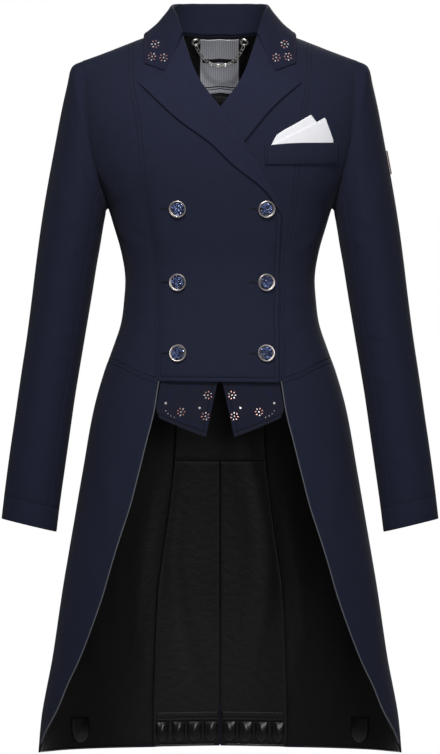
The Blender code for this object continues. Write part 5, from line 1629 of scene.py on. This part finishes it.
def basis(centre, up, forward=(0.0, 0.0, 1.0)):
    """Matrix of a part that stands on a surface at a centre, in mm, with its Z along up."""
    up = Vector(up).normalized()
    forward = Vector(forward)
    forward = (forward - up * forward.dot(up)).normalized()
    turn = Matrix((forward.cross(up), forward, up)).transposed().to_4x4()
    return Matrix.Translation(Vector(centre)) @ turn


def moved(part, matrix):
    vertices, faces = part
    matrix = np.array(matrix)
    return np.asarray(vertices, float) @ matrix[:3, :3].T + matrix[:3, 3], faces


def spun(profile, turns):
    """A solid of revolution about Z through (radius, height) pairs."""
    angle = np.linspace(0, 2 * np.pi, turns, endpoint=False)
    rings = [np.stack((r * np.cos(angle), r * np.sin(angle), np.full(turns, z)), -1)
             for r, z in profile]
    return np.concatenate(rings), tube_faces(len(profile), turns)


def ring_part(radius, wire, turns=40, segments=10, stretch=0.0):
    """A ring of wire in the XY plane, drawn out along Y by the stretch."""
    angle = np.linspace(0, 2 * np.pi, turns, endpoint=False)
    out = np.stack((np.cos(angle), np.sin(angle), np.zeros(turns)), -1)
    centre = radius * out
    centre[:, 1] += stretch * np.sign(out[:, 1])
    cosine, sine = circle(segments)
    up = np.array((0.0, 0.0, 1.0))
    rings = centre[:, None] + wire * (cosine * out[:, None] + sine * up)
    i, j = np.meshgrid(np.arange(turns), np.arange(segments), indexing="ij")
    a = i * segments + j
    b = i * segments + (j + 1) % segments
    c = ((i + 1) % turns) * segments + (j + 1) % segments
    d = ((i + 1) % turns) * segments + j
    return rings.reshape(-1, 3), np.stack((a, b, c, d), -1).reshape(-1, 4).tolist()


def faceted(stone, spin=0.0):
    """A cut stone on its flat back: girdle, crown facets and table."""
    radius, height, stretch, sides = stone
    turns = []
    for share, rise, twist in ((1.0, 0.0, 0.0), (1.0, 0.25, 0.0), (0.58, 1.0, 0.5)):
        angle = 2 * np.pi * (np.arange(sides) + twist) / sides + spin
        turns.append(np.stack((
            share * radius * np.cos(angle), share * radius * stretch * np.sin(angle),
            np.full(sides, rise * height)), -1))
    faces = []
    for k in range(sides):
        n = (k + 1) % sides
        faces.append((k, n, sides + n, sides + k))
        faces.append((sides + k, sides + n, 2 * sides + k))
        faces.append((sides + n, 2 * sides + n, 2 * sides + k))
    faces.append(tuple(range(sides))[::-1])
    faces.append(tuple(2 * sides + k for k in range(sides)))
    return np.concatenate(turns), faces


class TAILCOAT_OT_hanger(bpy.types.Operator):
    """Two silver eyelets and the chain of oval links that swings between them"""
    bl_idname = "tailcoat.hanger"
    bl_label = "Eyelets and Chain"

    def execute(self, context):
        silver = plated("silver plate", settings().silver_colour, 0.36)
        sheet = back_lining()
        for side, mark in SIDES:
            low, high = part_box("eyelet_" + mark)
            centre = (Vector(low) + Vector(high)) / 2 / MM
            _, normal = sheet.at(*place_on(sheet, side * EYELET_ACROSS, EYELET_HEIGHT))
            ring = moved(ring_part(EYELET_RING, EYELET_WIRE), basis(centre, normal))
            solid("eyelet_%s_ring" % mark, ring, silver, "silver_metal", ("eyelet_" + mark,))
        low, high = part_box("hanger_chain")
        middle = 0.5 * (low.y + high.y) / MM
        top = high.z / MM - CHAIN_WIRE
        half = 0.5 * (high.x - low.x) / MM - CHAIN_WIRE * 0.5 - CHAIN_END
        share = np.linspace(-1, 1, 201)
        across = half * np.sign(share) * np.abs(share) ** CHAIN_CROWDING
        drop = CHAIN_DROP * (1 - np.abs(share) ** CHAIN_SAG)
        line = np.stack((across, np.full(len(share), middle), top - drop), -1)
        length = lengths_along(line)[-1]
        count = round(length / LINK_PITCH)
        at = (np.arange(count) + 0.5) * length / count
        centres = along(line, at)
        ways = unit(along(line, at + 0.5) - along(line, at - 0.5))
        link = ring_part(LINK_WIDTH, LINK_WIRE, 16, 6, LINK_LENGTH - LINK_WIDTH)
        links = []
        for k, (centre, way) in enumerate(zip(centres, ways)):
            flat = (0.0, -1.0, 1.0) if k % 2 else (0.0, -1.0, -1.0)
            links.append(moved(link, basis(centre, np.cross(way, np.cross(flat, way)), way)))
        solid("hanger_chain_links", gather(links), silver, "silver_metal", ("hanger_chain",),
              "hanger_chain")
        return {"FINISHED"}


def button_places():
    """Name, foot and direction of each button, on the right front's own surface."""
    for column, row_name in zip(BUTTON_COLUMNS, ("outer", "inner")):
        for row, height in enumerate(BUTTON_ROWS, start=1):
            sheet = on_form(seen(np.array([[(-column, height)]], float)))
            lift = front_lift(sheet.points) + BUTTON_FOOT
            sheet = creased(sheet.lifted(lift).mirrored())
            yield "button_%s_%d" % (row_name, row), sheet.points[0, 0], sheet.normals[0, 0]


class TAILCOAT_OT_buttons(bpy.types.Operator):
    """Six turned metal buttons, each with a dark bed and a rock of midnight crystals"""
    bl_idname = "tailcoat.buttons"
    bl_label = "Buttons"

    def execute(self, context):
        metal = plated("rose nickel plate", settings().button_colour, 0.4)
        enamel = black_gloss("black enamel bed", settings().enamel_colour)
        # The last value is the amount of painted glint: the stones' colour runs from a tenth to
        # nearly twice its value
        crystal = cut_crystal("midnight crystal", settings().rock_colour, 0.2, 0.5, 0.9)
        for number, (name, foot, way) in enumerate(button_places()):
            matrix = basis(foot, way)
            rim = moved(spun(BUTTON_RIM, BUTTON_TURNS), matrix)
            bed = moved(spun(BUTTON_BED, BED_TURNS), matrix)
            stones = []
            for k in range(ROCK_STONES):
                share = math.sqrt((k + 0.5) / ROCK_STONES)
                turn = GOLDEN_TURN * k + number
                spot = Vector((math.cos(turn), math.sin(turn), 0.0)) * share * ROCK_REACH
                spot.z = ROCK_CROWN - ROCK_FALL * share ** 2 - ROCK_SINK
                sway, swing, spin = (step * k for step in ROCK_TURNS)
                tilt = Vector((spot.x * ROCK_LEAN, spot.y * ROCK_LEAN, 1.0))
                tilt += Vector((math.sin(sway), math.cos(swing), 0.0)) * ROCK_TILT
                stones.append(moved(faceted(ROCK_STONE, spin),
                                    matrix @ basis(spot, tilt, ROCK_FORWARD)))
            solid(name + "_rim", rim, metal, "button_metal", (name,), sharp=METAL_SHARP)
            solid(name + "_bed", bed, enamel, "button_metal", sharp=METAL_SHARP)
            solid(name + "_crystals", gather(stones), crystal, "button_metal",
                  sharp=STONE_SHARP)
        return {"FINISHED"}


def padded_pouch(name, sheet, pouch, side, finish):
    """A weight pouch on a lining: flat along its top, round below, and swollen."""
    shares = np.linspace(0.0, 1.0, POUCH_POINTS)
    base = []
    face = []
    middle = 0.5 * (pouch.near + pouch.far)
    for v in shares:
        round_off = np.sqrt(max(0.03, 1 - max(0.0, 1 - v / POUCH_ROUND) ** 2))
        for u in shares:
            x = middle + (u - 0.5) * (pouch.far - pouch.near) * round_off
            z = pouch.low + v * (pouch.high - pouch.low)
            point, normal = sheet.at(*place_on(sheet, side * x, z))
            swell = (math.sin(math.pi * u) * math.sin(math.pi * min(1, v * 0.96))) ** POUCH_SWELL
            pucker = POUCH_PUCKER * math.sin(9 * u + 5 * v) * math.sin(math.pi * u)
            thick = POUCH_RIM + (POUCH_THICKNESS - POUCH_RIM) * swell + pucker * (v > 0.1)
            base.append(point + normal * LABEL_GAP)
            face.append(point + normal * (LABEL_GAP + max(POUCH_LEAST, thick)))
    part = np.array(face + base), wall_faces(POUCH_POINTS, POUCH_POINTS)
    piece = solid(name + "_cover", part, finish, "weight_cover", (name,), sharp=PAD_SHARP)


class TAILCOAT_OT_pouches(bpy.types.Operator):
    """Glossy weight pouches inside the tail hem, the bands above them and the hem cord"""
    bl_idname = "tailcoat.pouches"
    bl_label = "Weight Pouches"

    def execute(self, context):
        gloss = black_gloss("coated polyester", settings().pouch_colour)
        satin = lining()
        for side, mark in SIDES:
            _, _, back, tail_side = panels(side)
            tail = tail_lining(back)
            flank = under_cloth(tail_side)
            for number, pouch in enumerate(POUCHES, start=1):
                padded_pouch("weight_pouch_%d_%s" % (number, mark), tail, pouch, side, gloss)
            padded_pouch("corner_pouch_" + mark, flank, CORNER_POUCH, side, gloss)
            xs = np.linspace(POUCH_BAND.near, POUCH_BAND.far, 60)
            zs = np.linspace(POUCH_BAND.low, POUCH_BAND.high, 8)
            band = patch_on(tail, xs * side, zs, BAND_LIFT)
            upward = np.cos(np.linspace(0, 2.6, len(zs)))[:, None]
            puckers = BAND_PUCKER * np.sin(xs * 1.1)[None, :] * upward
            piece, lines = shell("pouch_band_" + mark, band.lifted(puckers),
                                 Edges(PRESSED, PRESSED, WELT_END, PRESSED), satin,
                                 BAND_CLOTH, 2.0)
            placed(piece, "lining_satin")
            threads = stitches("pouch_band_stitching_" + mark, lines, "lining_satin",
                               thread_darkened_for_shade())
            declare(piece, band, "laid", ["lining_tail_back_" + mark])
            hems = [sheet.points[0, 2:-2] + (0.0, 0.0, HEM_CORD_RISE)
                    + sheet.normals[0, 2:-2] * (HEM_CORD - HEM_CORD_SINK)
                    for sheet in (tail, flank)]
            cords("hem_cord_" + mark, hems, HEM_CORD, gloss, "weight_cover")
        return {"FINISHED"}


class TAILCOAT_OT_badge(bpy.types.Operator):
    """The plain rounded plate on the left upper sleeve"""
    bl_idname = "tailcoat.badge"
    bl_label = "Sleeve Badge"

    def execute(self, context):
        # Far darker than rose-gold plate: painted shade of the plate on the sleeve's side, which
        # turns from the light
        metal = plated("rose gold plate", settings().badge_shade_colour, 0.5)
        low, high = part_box("sleeve_badge")
        centre = (Vector(low) + Vector(high)) / 2 / MM
        sleeve = sleeve_of(1)
        middle = FINER * RING_POINTS / 2
        point, normal = sleeve.at(FINER * BADGE_RING, middle)
        lower, _ = sleeve.at(FINER * (BADGE_RING + BADGE_REACH), middle)
        half_width, half_height, corner = BADGE_OUTLINE
        middles = []
        ways = []
        for k, (sx, sy) in enumerate(((1, 1), (-1, 1), (-1, -1), (1, -1))):
            for spin in np.pi / 2 * (k + np.linspace(0, 1, BADGE_CORNER_POINTS)):
                middles.append((sx * (half_width - corner), sy * (half_height - corner), 0.0))
                ways.append((math.cos(spin), math.sin(spin), 0.0))
        rings = [np.array(middles) + np.array(ways) * (corner - inset) + (0.0, 0.0, rise)
                 for inset, rise in BADGE_STEPS]
        part = np.concatenate(rings), tube_faces(len(rings), len(ways))
        solid("sleeve_badge_plate", moved(part, basis(centre, normal, lower - point)), metal,
              "badge_metal", ("sleeve_badge",), sharp=PLATE_SHARP)
        return {"FINISHED"}


def surface(*names):
    """Ray caster on finished pieces: gives the point and direction that the front view shows."""
    trees = []
    for name in names:
        mesh = bpy.data.objects[name].data
        vertices = [vertex.co for vertex in mesh.vertices]
        trees.append(BVHTree.FromPolygons(vertices, [p.vertices for p in mesh.polygons]))

    def find(across, height):
        hits = []
        for tree in trees:
            spot, normal, _, distance = tree.ray_cast(
                Vector((across, -1000.0, height)) * MM, Vector((0.0, 1.0, 0.0)))
            if spot is not None:
                hits.append((distance, spot, normal))
        if not hits:
            raise RuntimeError("no cloth at %.1f, %.1f" % (across, height))
        _, spot, normal = min(hits, key=lambda hit: hit[0])
        return np.array(spot) / MM, np.array(normal if normal.y < 0 else -normal)
    return find


class TAILCOAT_OT_trims(bpy.types.Operator):
    """A grey cord along the tails' front edges, and worked buttonholes"""
    bl_idname = "tailcoat.trims"
    bl_label = "Piping and Buttonholes"

    def execute(self, context):
        # A grey cord, lighter than the cloth, along each tail's front edge
        grey = lining_satin("grey satin piping", settings().tail_edge_cord_colour)
        for side, mark in SIDES:
            tail_side = panels(side)[3]
            edge = tail_side.points[:, 0] - tail_side.normals[:, 0] * TAIL_CORD_SINK
            inward = unit(tail_side.points[:, 1] - tail_side.points[:, 0])
            cords("tail_piping_" + mark, [edge + inward * TAIL_CORD_INSET], TAIL_CORD, grey,
                  "lining_satin")
        find = surface("front_R_cloth", "lapel_R_cloth")
        lines = []
        slits = []
        for _, foot, _ in button_places():
            places = foot[0] - BUTTONHOLE_START - np.linspace(
                0, BUTTONHOLE_LENGTH, BUTTONHOLE_MARKS)
            for offset in (-BUTTONHOLE_HALF, BUTTONHOLE_HALF):
                marks = [find(across, foot[2] + offset) for across in places]
                lines.append(np.array([spot + normal * 0.1 for spot, normal in marks]))
            slits.append(np.array([find(across, foot[2])[0] for across in places]))
        # The worked edges take the darkened thread colour and a near-black cord fills each slit:
        # painted shade of the buttonhole and its opening
        thread = yarn("navy buttonhole twist", settings().thread_with_painted_shade_colour)
        cords("buttonhole_edges", lines, BUTTONHOLE_THREAD, thread)
        dark = yarn("shadowed buttonhole slit", settings().bar_and_slit_shade_colour)
        cords("buttonhole_slits", slits, BUTTONHOLE_SLIT, dark)
        return {"FINISHED"}


def stone_at(find, mark, side, stone, turn=0.0, reach=0.0):
    """A stone at a mark, or at a reach from it in the direction of a turn."""
    across = side * (mark.across + reach * math.cos(turn))
    spot, normal = find(across, mark.height + reach * math.sin(turn))
    forward = (side * math.cos(turn), 0.0, math.sin(turn))
    return moved(faceted(stone), basis(spot, normal, forward))


def bead_line(find, marks, side):
    """Small beads at even steps along a smooth line on the cloth."""
    dense = curve_through(marks, 10)
    length = lengths_along(dense)[-1]
    bead = spun(BEAD_PROFILE, BEAD_SIDES)
    beads = []
    for across, height in along(dense, np.linspace(0, length, int(length / BEAD_PITCH))):
        beads.append(moved(bead, basis(*find(side * across, height))))
    return gather(beads)


class TAILCOAT_OT_crystals(bpy.types.Operator):
    """Crystal flowers, single stones and beaded embroidery on the collar and waistcoat points"""
    bl_idname = "tailcoat.crystals"
    bl_label = "Crystals and Embroidery"

    def execute(self, context):
        clear = cut_crystal("clear crystal", settings().clear_colour, 0.2, 0.2)
        rose = cut_crystal("rose crystal", settings().rose_colour, 0.2, 0.3)
        blue = yarn("midnight rayon embroidery", settings().embroidery_colour)
        for side, mark in SIDES:
            places = (
                ("collar", surface("collar_cloth"), LEAF_FLOWERS, (), (), (LEAF_CURL,)),
                ("vest_" + mark, surface("vest_point_%s_cloth" % mark), VEST_FLOWERS,
                 VEST_STONES, VEST_DOTS, VEST_CURLS),
            )
            for name, find, flowers, singles, dots, curls in places:
                bright = []
                warm = []
                for number, flower in enumerate(flowers):
                    bright.append(stone_at(find, flower, side, FLOWER_STONE))
                    for k in range(PETALS):
                        turn = 2 * math.pi * k / PETALS + PETAL_SPIN * number
                        petal = stone_at(find, flower, side, PETAL_STONE, turn, PETAL_REACH)
                        (bright if (k + number) % 3 == 0 else warm).append(petal)
                bright += [stone_at(find, spot, side, SINGLE_STONE) for spot in singles]
                bright += [stone_at(find, spot, side, DOT_STONE) for spot in dots]
                for label, stones, finish in (("clear", bright, clear), ("rose", warm, rose)):
                    solid("%s_stones_%s_%s" % (name, label, mark), gather(stones), finish,
                          "silver_metal", sharp=STONE_SHARP)
                beads = gather([bead_line(find, curl, side) for curl in curls])
                solid("%s_embroidery_%s" % (name, mark), beads, blue)
        return {"FINISHED"}


# ---- stage

def light(box):
    """Sets up one softbox of the table."""
    data = bpy.data.lights.new(box.name, "AREA")
    data.spread = math.radians(box.spread)
    data.shape = "RECTANGLE"
    data.size, data.size_y = box.size
    data.energy = box.power * settings().key_power
    lamp = linked(box.name, data)
    lamp.location = box.place
    way = Vector(box.aim) - Vector(box.place)
    lamp.rotation_euler = way.to_track_quat("-Z", "Y").to_euler()


class TAILCOAT_OT_stage(bpy.types.Operator):
    """Pale floor, white surround, soft lights and the camera"""
    bl_idname = "tailcoat.stage"
    bl_label = "Stage"

    def execute(self, context):
        scene = context.scene
        scene.view_settings.view_transform = "Standard"
        world = bpy.data.worlds.new("white studio")
        scene.world = world
        world.use_nodes = True
        tree = world.node_tree
        tree.nodes.clear()
        path = add(tree, "ShaderNodeLightPath")
        seen_white = add(tree, "ShaderNodeBackground", None, {
            "Color": (1.0, 1.0, 1.0, 1.0), "Strength": 1.0})
        lighting = add(tree, "ShaderNodeBackground", None, {
            "Color": (0.96, 0.98, 1.0, 1.0), "Strength": settings().surround})
        mixed = add(tree, "ShaderNodeMixShader", None, {
            0: path.outputs["Is Camera Ray"], 1: lighting.outputs[0], 2: seen_white.outputs[0]})
        add(tree, "ShaderNodeOutputWorld", None, {"Surface": mixed.outputs[0]})
        corners = [(x * FLOOR_REACH, y * FLOOR_REACH, FLOOR_HEIGHT)
                   for x, y in ((-1, -1), (1, -1), (1, 1), (-1, 1))]
        paper, _, _, _ = start_material("pale paper floor", linear("#ececec"), 0.9)
        mesh = bpy.data.meshes.new("floor")
        mesh.from_pydata(corners, [], [(0, 1, 2, 3)])
        mesh.materials.append(paper)
        floor = linked("floor", mesh)
        for box in SOFTBOXES:
            light(box)
        data = bpy.data.cameras.new("camera")
        data.sensor_width = SENSOR_WIDTH
        data.lens = SENSOR_WIDTH * CAMERA_DISTANCE / PICTURE_HEIGHT
        camera = linked("camera", data)
        camera.location = (0.0, -CAMERA_DISTANCE, CAMERA_HEIGHT)
        camera.rotation_euler = (math.radians(90), 0.0, 0.0)
        scene.camera = camera
        return {"FINISHED"}


# ---- settings, panel and main

def hue(name, description, colour):
    return FloatVectorProperty(
        name=name, description=description, subtype="COLOR", size=3, min=0.0, max=1.0,
        default=linear(colour))


class TailcoatSettings(bpy.types.PropertyGroup):
    """Sizes and colours of the tailcoat that a user would change"""
    spacing: FloatProperty(
        name="Mesh spacing", description="Distance between a cloth shell's grid lines",
        default=0.005, min=0.002, max=0.02, unit="LENGTH")
    surround: FloatProperty(
        name="Surround", description="Strength of the white surround's light", default=0.11,
        min=0.0, subtype="FACTOR")
    key_power: FloatProperty(
        name="Key light", description="Power of the main softbox", default=5.7, min=0.0,
        unit="POWER")
    cloth_colour: hue("Coat cloth", "Body of the coat", "#212435")
    # A slightly lighter copy of the coat cloth: painted light on the lapels
    lapel_light_colour: hue("Facing", "Lapels and collar", "#222537")
    # A darker copy of the coat cloth: painted shade on the sleeves and the collar
    sleeve_and_collar_shade_colour: hue("Sleeves", "Sleeve cloth", "#1e2132")
    vest_colour: hue("Waistcoat", "Waistcoat points", "#1e202d")
    # Near-black, darker than navy thread is: painted shade of the pressed grooves that the
    # topstitching lies in
    thread_with_painted_shade_colour: hue("Thread", "Topstitching", "#0d0f17")
    border_colour: hue("Border", "Stitched border of the collar", "#3c2530")
    lining_colour: hue("Lining", "Back and tail lining", "#101011")
    # A darker copy of the lining colour: painted shade on the turned tail sides
    side_lining_shade_colour: hue("Side lining", "Lining of the tail sides", "#0d0d0e")
    tail_edge_cord_colour: hue("Piping", "Edge of the tails", "#5c5e64")
    label_colour: hue("Label", "Neck label satin", "#a4a5ad")
    # Painted highlight on the label's turned side edges
    label_edge_highlight_colour: hue("Selvedge", "Bright edge of the label", "#c6c8cf")
    # Near-black: the label bars' own colour, and painted shade in the buttonhole slits
    bar_and_slit_shade_colour: hue("Bars", "Dark woven bars and slits", "#101014")
    pouch_colour: hue("Pouches", "Coated pouches", "#0c0c0e")
    enamel_colour: hue("Enamel", "Bed of the buttons", "#0a0a0e")
    rock_colour: hue("Button crystals", "Midnight stones", "#6f7fae")
    button_colour: hue("Button metal", "Rim of the buttons", "#e2d8d2")
    # Darkened rose gold: painted shade on the sleeve badge
    badge_shade_colour: hue("Badge metal", "Sleeve badge", "#5e453e")
    silver_colour: hue("Silver", "Eyelets and chain", "#e6e4de")
    clear_colour: hue("Clear crystal", "White stones", "#ded2d4")
    rose_colour: hue("Rose crystal", "Rose stones", "#c08e86")
    embroidery_colour: hue("Embroidery", "Beaded embroidery", "#1a2450")
    square_colour: hue("Pocket square", "Cotton", "#ececf0")


OPERATORS = (
    TAILCOAT_OT_stage, TAILCOAT_OT_body, TAILCOAT_OT_collar, TAILCOAT_OT_sleeves,
    TAILCOAT_OT_linings, TAILCOAT_OT_vest, TAILCOAT_OT_pocket, TAILCOAT_OT_labels,
    TAILCOAT_OT_hanger, TAILCOAT_OT_buttons, TAILCOAT_OT_pouches, TAILCOAT_OT_badge,
    TAILCOAT_OT_trims, TAILCOAT_OT_crystals,
)


class TAILCOAT_PT_panel(bpy.types.Panel):
    """Sidebar panel with the tailcoat's settings and pieces"""
    bl_label = "Tailcoat"
    bl_idname = "TAILCOAT_PT_panel"
    bl_space_type = "VIEW_3D"
    bl_region_type = "UI"
    bl_category = "Tailcoat"

    def draw(self, context):
        for name in TailcoatSettings.__annotations__:
            self.layout.prop(context.scene.tailcoat, name)
        for operator in OPERATORS:
            self.layout.operator(operator.bl_idname)


CLASSES = (TailcoatSettings, *OPERATORS, TAILCOAT_PT_panel)


def register():
    for kind in CLASSES:
        bpy.utils.register_class(kind)
    bpy.types.Scene.tailcoat = PointerProperty(type=TailcoatSettings)


def unregister():
    del bpy.types.Scene.tailcoat
    for kind in reversed(CLASSES):
        bpy.utils.unregister_class(kind)


def main():
    register()
    for operator in OPERATORS:
        group, name = operator.bl_idname.split(".")
        getattr(getattr(bpy.ops, group), name)()


if __name__ == "__main__":
    main()
